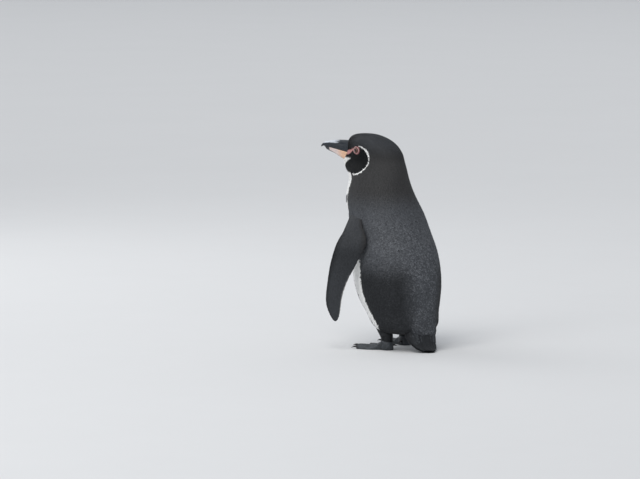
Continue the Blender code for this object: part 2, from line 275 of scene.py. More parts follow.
@dataclass(frozen=True)
class Body:
    """Head, neck and trunk as one run of level slices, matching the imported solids.

    A slice is a superellipse: (|across| / half width)^p + (|along| / depth)^p = 1, with one depth and
    power in front and others behind. Both ends are rounded by the share (1 - inside^P)^(1 / P).
    """

    # height, middle in y, half width, depth to the front, depth to the back, front power
    slices: tuple = (
        (25, 22, 55, 48, 50, 2),
        (57, 11, 58, 56, 56, 2),
        (77, 6, 63, 66, 62, 2.1),
        (100, 1, 67.5, 73, 68, 2),
        (128, -3, 69, 75, 69, 2),
        (156, -9, 67.5, 73, 68, 2),
        (187, -20, 63.5, 68, 65, 2),
        (219, -31, 58, 61, 61, 2.1),
        (234, -38, 54, 61, 60, 2.1),
        (250, -41, 49, 58, 56, 2),
        (272, -44, 41, 51, 54, 1.9),
        (289, -47, 35, 60, 54, 1.5),
        (297, -48, 32, 61, 53, 1.4),
        (313, -48, 28.5, 53, 48, 1.6),
        (321, -51, 28, 48, 44, 1.8),
        (329, -57, 27, 43, 41, 2.1),
        (342, -69, 26, 37, 33, 2.2),
    )
    back_power: float = 2.1
    bottom: float = 25
    bottom_cap: float = 31
    bottom_power: float = 3.2
    crown: float = 341.7
    crown_cap: float = 25
    crown_power: float = 2.8
    head_turn: float = radians(16)
    head_shift: float = 8
    turn_start: float = 210
    turn_end: float = 310

    def columns(self, height: Array) -> list[Array]:
        """Middle, half width, front depth, back depth and front power, at heights."""
        return read_table(self.slices, clip(height, self.slices[0][0], self.slices[-1][0] - 0.01))

    def turned(self, height: Array) -> tuple[Array, Array]:
        """Sideways shift and turn in radians of the slice at a height."""
        share = ease(self.turn_start, self.turn_end, height)
        return self.head_shift * share, self.head_turn * share

    def surface(self, height: Array, angle: Array) -> Array:
        """Points of the outline, each slice scaled by both rounded ends, shifted and turned.

        Args:
            height: heights.
            angle: angles round the slice, front at -90 degrees.

        Returns:
            Points, one for each height and angle.
        """
        middle, wide, front, back, power = self.columns(height)
        scale = (cap_scale(height - self.bottom, self.bottom_cap, self.bottom_power)
                 * cap_scale(self.crown - height, self.crown_cap, self.crown_power))
        ahead = sin(angle)
        powers = where(ahead < 0, power, self.back_power)
        across = round_power(cos(angle), powers) * wide * scale
        along = round_power(ahead, powers) * where(ahead < 0, front, back) * scale
        shift, turn = self.turned(height)
        x = shift + across * cos(turn) - along * sin(turn)
        y = middle + across * sin(turn) + along * cos(turn)
        return stack([x, y, height + 0 * x], axis=-1)

    def level(self, points: Array) -> Array:
        """Implicit form, R^P + inside^P - 1, smooth over both ends.

        Args:
            points: places.

        Returns:
            0 on the outline, below 0 inside, above 0 outside.
        """
        height = points[..., 2]
        middle, wide, front, back, power = self.columns(height)
        shift, turn = self.turned(height)
        dx, dy = points[..., 0] - shift, points[..., 1] - middle
        across = abs(dx * cos(turn) + dy * sin(turn)) / wide
        along = dy * cos(turn) - dx * sin(turn)
        powers = where(along < 0, power, self.back_power)
        deep = abs(along) / where(along < 0, front, back)
        radius = (across ** powers + deep ** powers) ** (1 / powers)
        over = clip(1 - (self.crown - height) / self.crown_cap, 0, None)
        under = clip(1 - (height - self.bottom) / self.bottom_cap, 0, None)
        high = height > (self.bottom + self.crown) / 2
        ends = where(high, self.crown_power, self.bottom_power)
        return radius ** ends + where(high, over, under) ** ends - 1

    def slope(self, points: Array) -> Array:
        """Gradient of the implicit form by central differences 0.2 mm either way.

        Args:
            points: places.

        Returns:
            A gradient for each place.
        """
        step = 0.2
        parts = []
        for axis in range(3):
            move = zeros(3)
            move[axis] = step
            parts.append((self.level(points + move) - self.level(points - move)) / (2 * step))
        return stack(parts, axis=-1)

    def normal(self, points: Array) -> Array:
        """Unit vectors pointing out of the body."""
        return unit(self.slope(points))

    def settle(self, points: Array, lift: Array, rounds: int = 3) -> Array:
        """Slide points along the normal until they stand `lift` above the outline (Newton steps).

        Args:
            points: places.
            lift: height above the outline for each.
            rounds: number of steps.

        Returns:
            The settled points.
        """
        for _ in range(rounds):
            slope = self.slope(points)
            size = maximum(norm(slope, axis=-1), 1e-9)
            gap = self.level(points) / size
            points = points + (slope / size[..., None]) * (lift - gap)[..., None]
        return points

    def bearing(self, points: Array) -> Array:
        """Angle from the front of the slice, the same on both sides.

        Args:
            points: places.

        Returns:
            Degrees: 0 in front, 180 behind.
        """
        middle = self.columns(points[..., 2])[0]
        shift, turn = self.turned(points[..., 2])
        dx, dy = points[..., 0] - shift, points[..., 1] - middle
        across = dx * cos(turn) + dy * sin(turn)
        along = dy * cos(turn) - dx * sin(turn)
        return np.degrees(np.arctan2(abs(across), -along))


@dataclass(frozen=True)
class Head:
    """Measures of the head, in its own turned frame: ahead, to the left, and height."""

    body: Body
    axis: tuple = (8, -49)
    eye_radius: float = 6.5
    eye_forward: float = 18
    eye_left: float = 21.2
    eye_height: float = 316.2
    bill_base: float = 47.5
    bill_height: float = 314

    def place(self, forward: Array, left: Array, height: Array) -> Array:
        """Carry measures in the head's frame into the bird's.

        Args:
            forward: distance ahead of the head's axis.
            left: distance to the left of it.
            height: height.

        Returns:
            Points.
        """
        turn = self.body.head_turn
        x = self.axis[0] + forward * sin(turn) + left * cos(turn)
        y = self.axis[1] - forward * cos(turn) + left * sin(turn)
        return stack(np.broadcast_arrays(x, y, height), axis=-1).astype(float)

    def read(self, points: Array) -> Array:
        """Carry points into the head's frame, the opposite of `place`.

        Args:
            points: places.

        Returns:
            Distance ahead, to the left, and height.
        """
        turn = self.body.head_turn
        dx, dy = points[..., 0] - self.axis[0], points[..., 1] - self.axis[1]
        forward = dx * sin(turn) - dy * cos(turn)
        left = dx * cos(turn) + dy * sin(turn)
        return stack([forward, left, points[..., 2]], axis=-1)

    def fold(self, points: Array) -> Array:
        """As `read`, with the right half of the head folded onto the left."""
        forward, left, height = np.moveaxis(self.read(points), -1, 0)
        return stack([forward, abs(left), height], axis=-1)

    def eye(self, side: Side) -> Array:
        """Middle of the eyeball."""
        return self.place(self.eye_forward, side.value * self.eye_left, self.eye_height)

    def gaze(self, side: Side) -> Array:
        """Unit vector out of the head through the middle of the eye."""
        centre = self.eye(side)
        return self.body.normal(self.body.settle(centre[None], zeros(1), 6))[0]

    def bill_root(self) -> Array:
        """Middle of the bill where it leaves the face."""
        return self.place(self.bill_base, 0, self.bill_height)


# ---- markings

@dataclass(frozen=True)
class Markings:
    """Where the plumage is white, brown or black, as functions of the place on the bird.

    The cheek patch is an oval on the side of the head, rimmed behind and below by the thin white
    line. The white underside ends at a bearing that changes with height, and is crossed by a brown
    collar and by a narrow black band that arches over the breast and runs down both flanks.
    """

    body: Body
    head: Head
    cheek_middle: tuple = (17, 302)      # ahead, height
    cheek_radii: tuple = (23.4, 21.6)
    rim_half_width: float = 0.95
    rim_turns: tuple = (94, 286)                   # degrees round the oval, from ahead over the top
    # height and bearing in degrees: the edge of the white underside, of the white throat, and
    # the middle of the black band below its arch
    white_edge: tuple = ((20, 40), (30, 42), (37, 68), (44, 80), (52, 82), (70, 79), (105, 77), (125, 78),
                         (150, 80), (175, 68), (198, 52), (214, 49), (226, 53), (240, 54), (256, 49),
                         (276, 47), (284, 38))
    throat_edge: tuple = ((268, 38), (280, 22), (286, 12), (292, 12), (298, 18), (305, 30))
    band_line: tuple = ((40, 62), (48, 61), (61, 56), (78, 53), (95, 50), (110, 47), (140, 43), (165, 40))
    band_top: float = 211
    band_half_width: float = 3.0
    band_broader: float = 1.6
    collar: tuple = (239, 253)
    body_radius: float = 67

    @staticmethod
    def read(table: tuple, height: Array) -> Array:
        """Smooth curve through a table of height and bearing, held at both ends."""
        return read_table(table, clip(height, table[0][0], table[-1][0]))[0]

    def rim(self, steps: int = 26) -> Array:
        """The white line as corners in the head's frame: part of the oval, laid on the face.

        Args:
            steps: number of corners.

        Returns:
            (steps, 3) corners.
        """
        turns = radians(linspace(*self.rim_turns, steps))
        forward = self.cheek_middle[0] + self.cheek_radii[0] * cos(turns)
        height = self.cheek_middle[1] + self.cheek_radii[1] * sin(turns)
        start = self.head.place(forward, np.full(steps, 30), height)
        return self.head.read(self.body.settle(start, zeros(steps), 8))

    def cheek(self, points: Array) -> Array:
        """1 inside the black cheek patch, fading out over 2 mm at its edge.

        Args:
            points: places.

        Returns:
            Shares of black.
        """
        seen = self.head.read(points)
        forward = (seen[:, 0] - self.cheek_middle[0]) / self.cheek_radii[0]
        forward = where(forward > 0, forward * 0.55, forward)
        height = (seen[:, 2] - self.cheek_middle[1]) / self.cheek_radii[1]
        return ease(1.03, 0.95, hypot(forward, height)) * ease(322, 317, seen[:, 2])

    def front(self, points: Array) -> Array:
        """1 ahead of the edge of the white underside, whatever crosses it."""
        return ease(2, -2, self.body.bearing(points) - self.read(self.white_edge, points[:, 2]))

    def white(self, points: Array) -> Array:
        """The white plumage: cheek line, throat, and underside without its bands.

        Args:
            points: places.

        Returns:
            Shares of white.
        """
        height = points[:, 2]
        width = self.rim_half_width * (0.8 + 0.7 * bump(height - 314, 6) + 0.35 * ease(297, 284, height))
        rim = ease(1.3, 0.8, near_line(self.head.fold(points), self.rim()) / width)
        rim *= (1 - 0.5 * bump(height - 301.5, 2.5)) * (height > 270)
        throat = ease(2, -2, self.body.bearing(points) - self.read(self.throat_edge, height))
        throat *= ease(306, 302, height) * (height > 270)
        under = self.front(points) * ease(284.5, 281, height)
        under *= (1 - self.collar_band(points)) * (1 - self.breast_band(points))
        return clip(maximum(maximum(rim, under), throat), 0, 1)

    def collar_band(self, points: Array) -> Array:
        """Brown band across the foot of the neck, lower in the middle, wavy and soft at its edges.

        Args:
            points: places.

        Returns:
            Shares of brown.
        """
        ahead = clip(1 - (self.body.bearing(points) / 48) ** 2, 0, 1)
        waves = sin(points[:, 0] / 3.1) + sin(points[:, 0] / 1.7 + 1)
        height = points[:, 2] + ahead * 9 + 0.8 * waves
        low, high = self.collar
        soft = 2.5
        band = ease(low - soft, low + soft, height) * ease(high + soft, high - soft, height)
        return (0.6 + 0.35 * ahead) * band * self.front(points)

    def breast_band(self, points: Array) -> Array:
        """Narrow black band: distance from an arch that widens downward, less its half width.

        Args:
            points: places.

        Returns:
            Shares of black.
        """
        height = points[:, 2]
        reach = radians(self.read(self.band_line, height)) * self.body_radius
        aside = radians(self.body.bearing(points)) * self.body_radius
        foot = self.band_line[-1][0]
        above = clip((height - foot) / (self.band_top - foot), 0, None)
        distance = abs(hypot(aside / reach, above) - 1) * reach
        half = self.band_half_width + self.band_broader * ease(165, 205, height)
        half = half + 0.5 * sin(points[:, 0] / 6) * sin(height / 9)
        return ease(1, -1, distance - half) * ease(38, 46, height) * (height < 235)

    def brown(self, points: Array) -> Array:
        """1 where the dark plumage is brownish: collar, nape and the sides of the neck."""
        neck = ease(222, 262, points[:, 2]) * ease(332, 306, points[:, 2])
        return maximum(self.collar_band(points), 0.8 * neck)

    def black(self, points: Array) -> Array:
        """Black cheeks and breast band, part black crown, and darker flanks and rump: the flanks partly
        darker plumage and partly painted shade, the rump painted shade low on the body.

        Args:
            points: places.

        Returns:
            Shares of black.
        """
        height, bearing = points[:, 2], self.body.bearing(points)
        # flanks: partly darker plumage, partly painted shade where the body turns down and away from the
        # light
        flank = 0.78 * ease(174, 138, bearing) * ease(162, 118, height)
        # rump: painted shade, darker toward the bottom of the body
        rump = 0.25 * ease(80, 40, height)
        forehead = ease(20, 38, self.head.read(points)[:, 0])
        crown = (0.38 + 0.4 * forehead) * ease(296, 318, height)
        return np.max([self.cheek(points), self.breast_band(points), flank, rump, crown], axis=0)

    def bare(self, points: Array) -> Array:
        """Bare pink skin: close round the eye, and a patch from there to the gape.

        Args:
            points: places.

        Returns:
            Shares of bare skin.
        """
        seen = self.head.fold(points)
        eye = array([self.head.eye_forward + 0.6, self.head.eye_left + 3.2, self.head.eye_height])
        ring = ease(7.4, 6.7, norm(seen - eye, axis=1))
        lore = array([[24, 22, 317], [30, 19.5, 316.8], [37, 16.5, 313.5], [45, 11, 311]])
        wide = 0.7 + 1.4 * ease(25, 31, seen[:, 0]) + 1.5 * ease(31, 42, seen[:, 0])
        wide = wide + 0.3 * sin(seen[:, 0] / 0.9) * sin(seen[:, 2] / 1.1)
        line = ease(0.5, -0.3, near_line(seen, lore) - wide)
        return maximum(ring, line)

    def masks(self, points: Array) -> dict:
        """Mask name to values, for body, legs and tail."""
        return {"white": self.white(points), "brown": self.brown(points), "black": self.black(points),
                "bare": self.bare(points)}


# ---- limbs as tubes

class Tube:
    """A limb as a surface of two shares: `u` from root to tip and `v` once around."""

    def at(self, u: Array, v: Array) -> Array:
        """Points of the outline at shares from root to tip and once around."""
        raise NotImplementedError

    def normal(self, u: Array, v: Array) -> Array:
        """Cross product of the two slopes, turned outward.

        Args:
            u: shares from root to tip.
            v: shares once around.

        Returns:
            Unit vectors out of the tube.
        """
        step = 1e-3
        low, high = clip(u - step, 0, 1), clip(u + step, 0, 1)
        along = self.at(high, v) - self.at(low, v)
        around = self.at(u, v + step) - self.at(u, v - step)
        out = unit(cross(along, around))
        middle = (self.at(u, v) + self.at(u, v + 0.5)) / 2
        sign = np.sign(dot(out, self.at(u, v) - middle))
        return out * where(sign == 0, 1, sign)

    def grid(self, rings: int, around: int, shrink: float = 0.0, end: float = 1.0) -> Array:
        """Rings of points, from the root to the share `end`, moved inward by `shrink`."""
        u, v = meshgrid(linspace(0, end, rings), arange(around) / around, indexing="ij")
        return self.at(u, v) - shrink * self.normal(u, v)


@dataclass(frozen=True)
class FlipperForm(Tube):
    """A flipper: lens-shaped level slices, fuller along the leading edge, rounded at the tip."""

    side: Side
    # height, middle in x and y, chord, chord's turn outward in degrees, thickness
    slices: tuple = (
        (230, 38, -38, 26, -8, 11),
        (213, 54, -39, 31, -6, 12.5),
        (200, 65, -32, 36, 2, 11.5),
        (188, 73, -24, 42, 16, 10),
        (176, 80.5, -20, 48, 27, 9),
        (144, 91.5, -26, 43.5, 35, 7.5),
        (112, 100, -33, 32, 38, 6),
        (80, 104.5, -37, 25, 37, 4.6),
        (48, 103.5, -34, 19, 30, 3.4),
    )
    tip: float = 47.6
    cap: float = 30
    root: float = 231

    def columns(self, height: Array) -> list[Array]:
        """Measures of slices, read from the table.

        Args:
            height: heights.

        Returns:
            Middle in x and y, half chord, half thickness, and turn in radians.
        """
        at = clip(height, self.slices[-1][0] - 0.4, self.slices[0][0] - 0.001)
        x, y, chord, turn, thick = read_table(self.slices[::-1], at)
        scale = cap_scale(height - self.tip, self.cap, 2)
        return [x, y, chord / 2 * scale, thick / 2 * sqrt(scale), radians(turn)]

    def at(self, u: Array, v: Array) -> Array:
        """Half chord cos along the blade and half thickness sin (0.72 + 0.28 cos) across it.

        Args:
            u: shares from root to tip.
            v: shares once around.

        Returns:
            Points of the outline.
        """
        top = self.slices[0][0]
        eased = where(u > 0.85, 0.85 + 0.15 * sin((u - 0.85) / 0.15 * pi / 2), u)
        height = top + (self.tip - top) * clip(eased, 0, 1)
        x, y, chord, thick, turn = self.columns(height)
        angle = TAU * v
        along = chord * cos(angle)
        across = thick * sin(angle) * (0.72 + 0.28 * cos(angle))
        px = x + along * sin(turn) + across * cos(turn)
        py = y - along * cos(turn) + across * sin(turn)
        return stack([self.side.value * px, py, height], axis=-1)

    def read(self, points: Array) -> tuple[Array, Array, Array]:
        """Place in a level slice.

        Args:
            points: places.

        Returns:
            Share of the half chord, distance across, and half thickness there.
        """
        x, y, chord, thick, turn = self.columns(points[:, 2])
        dx, dy = self.side.value * points[:, 0] - x, points[:, 1] - y
        along = (dx * sin(turn) - dy * cos(turn)) / maximum(chord, 0.01)
        half = sqrt(clip(1 - along ** 2, 0, 1)) * (0.72 + 0.28 * along) * thick
        return along, dx * cos(turn) + dy * sin(turn), half

    def inside(self, points: Array) -> Array:
        """Whether points lie inside the blade."""
        along, across, half = self.read(points)
        return (abs(along) < 1) & (abs(across) < half) & (points[:, 2] < self.root)

    def masks(self, points: Array) -> dict:
        """Markings: pale inner side with a dark border, brownish rear edge, darker leading edge.

        Args:
            points: places.

        Returns:
            Mask name to values.
        """
        along, across, _ = self.read(points)
        height = points[:, 2]
        inner = ease(-0.1, -0.7, across) * ease(0.80, 0.6, along)
        inner *= ease(62, 80, height) * ease(-0.90, -0.74, along)
        rear = ease(-0.88, -0.96, along) * ease(135, 100, height)
        fold = ease(-0.55, -0.9, along) * ease(150, 175, height)
        middle = bump(height - 150, 26)
        black = 0.25 * ease(0.5, 0.95, along) + 0.17 * middle + 0.43
        return {"white": clip(0.85 * inner + 0.3 * rear, 0, 1), "bare": 0 * height,
                "brown": maximum(0.9 * rear, 0.7 * fold), "black": black * (1 - rear)}


@dataclass(frozen=True)
class TailForm(Tube):
    """The tail's root: flat ovals across a path that leaves the rump and bends to the floor."""

    # middle in y and z, half width and half thickness
    stations: tuple = (
        (34, 62, 30, 22),
        (45, 43, 30, 18.5),
        (55, 25, 28, 13),
        (64, 12, 23.5, 7),
        (74, 4.3, 17, 3.4),
        (85, 1.4, 9, 1.4),
    )
    across_power: float = 2.8
    lift_power: float = 2.4

    def station(self, u: Array) -> list[Array]:
        """Middle in y and z, half width and half thickness, at shares of the path."""
        rows = [(index, *row) for index, row in enumerate(self.stations)]
        return read_table(rows, clip(u, 0, 1) * (len(rows) - 1.02))

    def at(self, u: Array, v: Array) -> Array:
        """Half width cos across, half thickness sin square to the path, never below the floor.

        Args:
            u: shares from root to tip.
            v: shares once around.

        Returns:
            Points of the outline.
        """
        y, z, wide, thick = self.station(u)
        next_y, next_z, _, _ = self.station(minimum(u, 0.997) + 0.002)
        last_y, last_z, _, _ = self.station(minimum(u, 0.997))
        run = unit(stack([next_y - last_y, next_z - last_z], axis=-1))
        across = round_power(cos(TAU * v), self.across_power) * wide
        lift = round_power(sin(TAU * v), self.lift_power) * thick
        height = maximum(z + run[..., 0] * lift, 0)
        return stack(np.broadcast_arrays(across, y - run[..., 1] * lift, height), axis=-1)

    def inside(self, points: Array) -> Array:
        """Test against the oval of the nearest of 60 places along the path.

        Args:
            points: places.

        Returns:
            Whether each lies inside.
        """
        y, z, wide, thick = self.station(linspace(0, 1, 60))
        path = stack([y, z], axis=-1)
        run = unit(np.gradient(path, axis=0))
        offset = points[:, None, 1:] - path
        near = abs((offset * run).sum(-1)).argmin(axis=1)
        gap = offset[arange(len(points)), near]
        lift = gap[:, 1] * run[near, 0] - gap[:, 0] * run[near, 1]
        across = abs(points[:, 0] / wide[near]) ** self.across_power
        return across + abs(lift / thick[near]) ** self.lift_power < 1


@dataclass(frozen=True)
class LegForm(Tube):
    """A short shank from inside the trunk down to the ankle: level ovals round a leaning middle."""

    side: Side
    ankle: tuple
    hip: tuple
    # height, half width and half depth
    stations: tuple = ((60, 17, 19), (44, 16, 18), (30, 12.5, 14), (20, 9.4, 10.6), (13, 8.5, 8.9))
    ankle_top: float = 15

    def at(self, u: Array, v: Array) -> Array:
        """Half width cos to the side and half depth sin to the back, round the leaning middle.

        Args:
            u: shares from root to tip.
            v: shares once around.

        Returns:
            Points of the outline.
        """
        top, foot = self.stations[0][0], self.stations[-1][0]
        height = top + (foot - top) * clip(u, 0, 1)
        wide, deep = read_table(self.stations[::-1], height)
        lean = (height - self.ankle_top) / (top - self.ankle_top)
        x = self.ankle[0] + (self.hip[0] - self.ankle[0]) * lean + wide * cos(TAU * v)
        y = self.ankle[1] + (self.hip[1] - self.ankle[1]) * lean + deep * sin(TAU * v)
        return stack([x, y, height], axis=-1)

    def masks(self, points: Array) -> dict:
        """Dark all round, blackest at the ankle."""
        flat, black = 0 * points[:, 2], 0.45 + 0.35 * ease(34, 16, points[:, 2])
        return {"white": flat, "brown": 0.3 + flat, "black": black, "bare": flat}


@dataclass(frozen=True)
class Foot:
    """A webbed foot on a flat sole: reach and height round the ankle, with scutes on the toes."""

    side: Side
    stance: float = 30
    ankle_back: float = 8
    stride: float = 26
    splay: float = radians(15)
    ankle_top: float = 15
    ankle_radius: float = 8.5
    heel_radius: float = 10
    web_reach: float = 41
    web_thickness: float = 2.4
    sole_edge: float = 0.9
    toe_height: float = 7
    toe_angles: tuple = (-25, 0, 23)
    toe_reach: tuple = (49, 59, 51)
    toe_half_angle: float = 6.5
    fan_half_angle: float = 38
    scute_length: float = 2.7
    scute_height: float = 0.34
    claw_height: float = 3.2
    hind_claw: tuple = (-118, 10, 6.5)      # degrees, distance from the ankle and height

    def ankle(self) -> Array:
        """Point on the floor below the ankle."""
        ahead = self.stride if self.side is Side.RIGHT else 0
        return array([self.side.value * self.stance, self.ankle_back - ahead, 0])

    def hip(self) -> Array:
        """Point that the shank leans to."""
        return array([self.side.value * self.stance, self.ankle_back - self.stride / 2, 0])

    def toe_share(self, angle: Array) -> Array:
        """1 along the middle of a toe, falling to 0 in the web: a sum of three bells."""
        return sum(bump(angle - middle, self.toe_half_angle) for middle in self.toe_angles)

    def reach(self, angle: Array) -> Array:
        """Distance from the ankle to the foot's edge: a flat-topped fan with three toes added.

        Args:
            angle: degrees from the middle toe.

        Returns:
            Distances.
        """
        fan = 1 / (1 + (abs(angle) / self.fan_half_angle) ** 10)
        reach = self.heel_radius + (self.web_reach - self.heel_radius) * fan
        for middle, length in zip(self.toe_angles, self.toe_reach):
            reach = reach + (length - self.web_reach) * bump(angle - middle, self.toe_half_angle)
        return reach

    def rise(self, angle: Array, share: Array, reach: Array) -> Array:
        """Upper side: instep, toe ridges and webs, with cross scutes on the toes.

        Args:
            angle: degrees from the middle toe.
            share: share of the reach.
            reach: distance to the edge.

        Returns:
            Heights.
        """
        distance = share * reach
        instep = 1 / (1 + (distance / (1.45 * self.heel_radius)) ** 4)
        toe = self.toe_share(angle)
        ridge = toe * (self.toe_height - self.web_thickness) * (1 - 0.25 * share)
        rise = self.web_thickness + ridge * minimum(share * 3, 1)
        rise = rise + (self.ankle_top - rise) * instep
        plates = abs(sin(pi * distance / self.scute_length)) ** 0.6 - 1
        folds = sin(TAU * distance / 3.6 + angle / 3) * (1 - toe) * 0.12
        relief = self.scute_height * plates * clip(toe, 0, 1) ** 1.5 + folds * ease(0.3, 0.5, share)
        return (rise + relief * ease(0.22, 0.34, share)) * sqrt(clip(1 - share ** 24, 0, 1))

    def grid(self, across_toes: int = 190, heel: int = 40, steps: int = 46) -> Array:
        """Rings from the top of the ankle out over the foot and back under the flat sole.

        Args:
            across_toes: columns over toes and webs.
            heel: columns behind.
            steps: rings on the upper side.

        Returns:
            (rings, columns, 3) points.
        """
        front = linspace(-46, 46, across_toes)
        angle = concatenate([front, linspace(46, 314, heel)[1:-1]])
        wrapped = where(angle > 180, angle - 360, angle)
        reach = self.reach(wrapped)
        share = linspace(0.2, 0.985, steps)[:, None]
        radius = maximum(share * reach, self.ankle_radius + 0.05 * share)
        height = self.rise(wrapped, share, reach)
        height[0] = self.ankle_top
        radius = vstack([radius, [reach, reach - self.sole_edge, 0.5 * reach]])
        flat = np.zeros_like(reach)
        height = vstack([height, [flat + self.sole_edge, flat, flat]])
        turn = self.side.value * radians(angle)
        x, y = sin(turn) * radius, -cos(turn) * radius
        cosine, sine = cos(self.side.value * self.splay), sin(self.side.value * self.splay)
        turned = stack([x * cosine - y * sine, x * sine + y * cosine, height], axis=-1)
        return turned + self.ankle()

    def toe_end(self, angle: float, reach: float, height: float) -> tuple[Array, Array]:
        """Where a claw leaves the foot.

        Args:
            angle: degrees from the middle toe.
            reach: distance from the ankle.
            height: height.

        Returns:
            Root and forward direction of the claw.
        """
        turn = self.side.value * (radians(angle) + self.splay)
        ahead = array([sin(turn), -cos(turn), 0])
        return self.ankle() + ahead * reach + array([0, 0, height]), ahead


# ---- finishes

class Graph:
    """A node tree with short calls to add and link nodes."""

    def __init__(self, tree: Tree) -> None:
        """Keep the tree that the calls work on."""
        self.tree = tree

    def give(self, node: Node, values: dict) -> Node:
        """Set or link a node's inputs.

        Args:
            node: the node.
            values: input name or number to value or link.

        Returns:
            The node.
        """
        for name, value in values.items():
            if isinstance(value, Socket):
                self.tree.links.new(value, node.inputs[name])
            else:
                node.inputs[name].default_value = value
        return node

    def add(self, kind: str, values: dict | None = None, **settings: object) -> Node:
        """New node.

        Args:
            kind: Blender's node type.
            values: default values or links for inputs, by name or number.
            settings: the node's own properties.

        Returns:
            The node.
        """
        node = self.tree.nodes.new(kind)
        for name, value in settings.items():
            setattr(node, name, value)
        return self.give(node, values or {})

    def group(self, tree: Tree, values: dict) -> Node:
        """A shared effect with its inputs."""
        return self.add("ShaderNodeGroup", values, node_tree=tree)

    def attribute(self, name: str) -> Socket:
        """A number stored on the mesh."""
        return self.add("ShaderNodeAttribute", attribute_name=name).outputs["Fac"]

    def math(self, operation: str, first: object, second: object, clamp: bool = False) -> Socket:
        """One arithmetic step on two numbers."""
        return self.add("ShaderNodeMath", {0: first, 1: second}, operation=operation,
                        use_clamp=clamp).outputs[0]

    def mix(self, share: object, first: object, second: object, blend: str = "MIX") -> Socket:
        """Mix of two colours."""
        return self.add("ShaderNodeMix", {0: share, 6: first, 7: second}, data_type="RGBA",
                        blend_type=blend, clamp_factor=True).outputs[2]

    def shade(self, colour: object, factor: object) -> Socket:
        """A colour multiplied by a number."""
        grey = self.add("ShaderNodeCombineColor", {0: factor, 1: factor, 2: factor}).outputs[0]
        return self.mix(1, colour, grey, "MULTIPLY")

    def noise(self, place: object, scale: object, detail: float = 3.0) -> Socket:
        """Smooth noise of a given scale, about 0.5 in the middle."""
        values = {"Vector": place, "Scale": scale, "Detail": detail, "Roughness": 0.55}
        return self.add("ShaderNodeTexNoise", values).outputs["Fac"]

    def place(self) -> Socket:
        """Object coordinates in metres."""
        return self.add("ShaderNodeTexCoord").outputs["Object"]

    def spread(self, value: object, low: float, high: float, to_low: float, to_high: float) -> Socket:
        """Carry the range low..high onto to_low..to_high, clamped."""
        return self.add("ShaderNodeMapRange", {0: value, 1: low, 2: high, 3: to_low, 4: to_high}).outputs[0]

    def bump(self, height: object, distance: float, strength: float = 1.0) -> Socket:
        """A height as a normal; the distance is in millimetres."""
        values = {"Height": height, "Distance": distance * MM, "Strength": strength}
        return self.add("ShaderNodeBump", values).outputs["Normal"]


def colour4(colour: Sequence[float]) -> tuple:
    """Colour with full opacity."""
    return (*colour, 1)


def new_group(name: str, inputs: dict, outputs: dict) -> tuple[Graph, dict, Node]:
    """Empty shader group with named sockets.

    Args:
        name: name of the group.
        inputs: socket name to (kind, default value).
        outputs: socket name to kind.

    Returns:
        The group's graph, its input sockets by name, and its output node.
    """
    tree = bpy.data.node_groups.new(name, "ShaderNodeTree")
    for label, (kind, default) in inputs.items():
        socket = tree.interface.new_socket(label, in_out="INPUT", socket_type="NodeSocket" + kind)
        if default is not None:
            socket.default_value = default
    for label, kind in outputs.items():
        tree.interface.new_socket(label, in_out="OUTPUT", socket_type="NodeSocket" + kind)
    graph = Graph(tree)
    entry = graph.add("NodeGroupInput")
    return graph, {label: entry.outputs[label] for label in inputs}, graph.add("NodeGroupOutput")


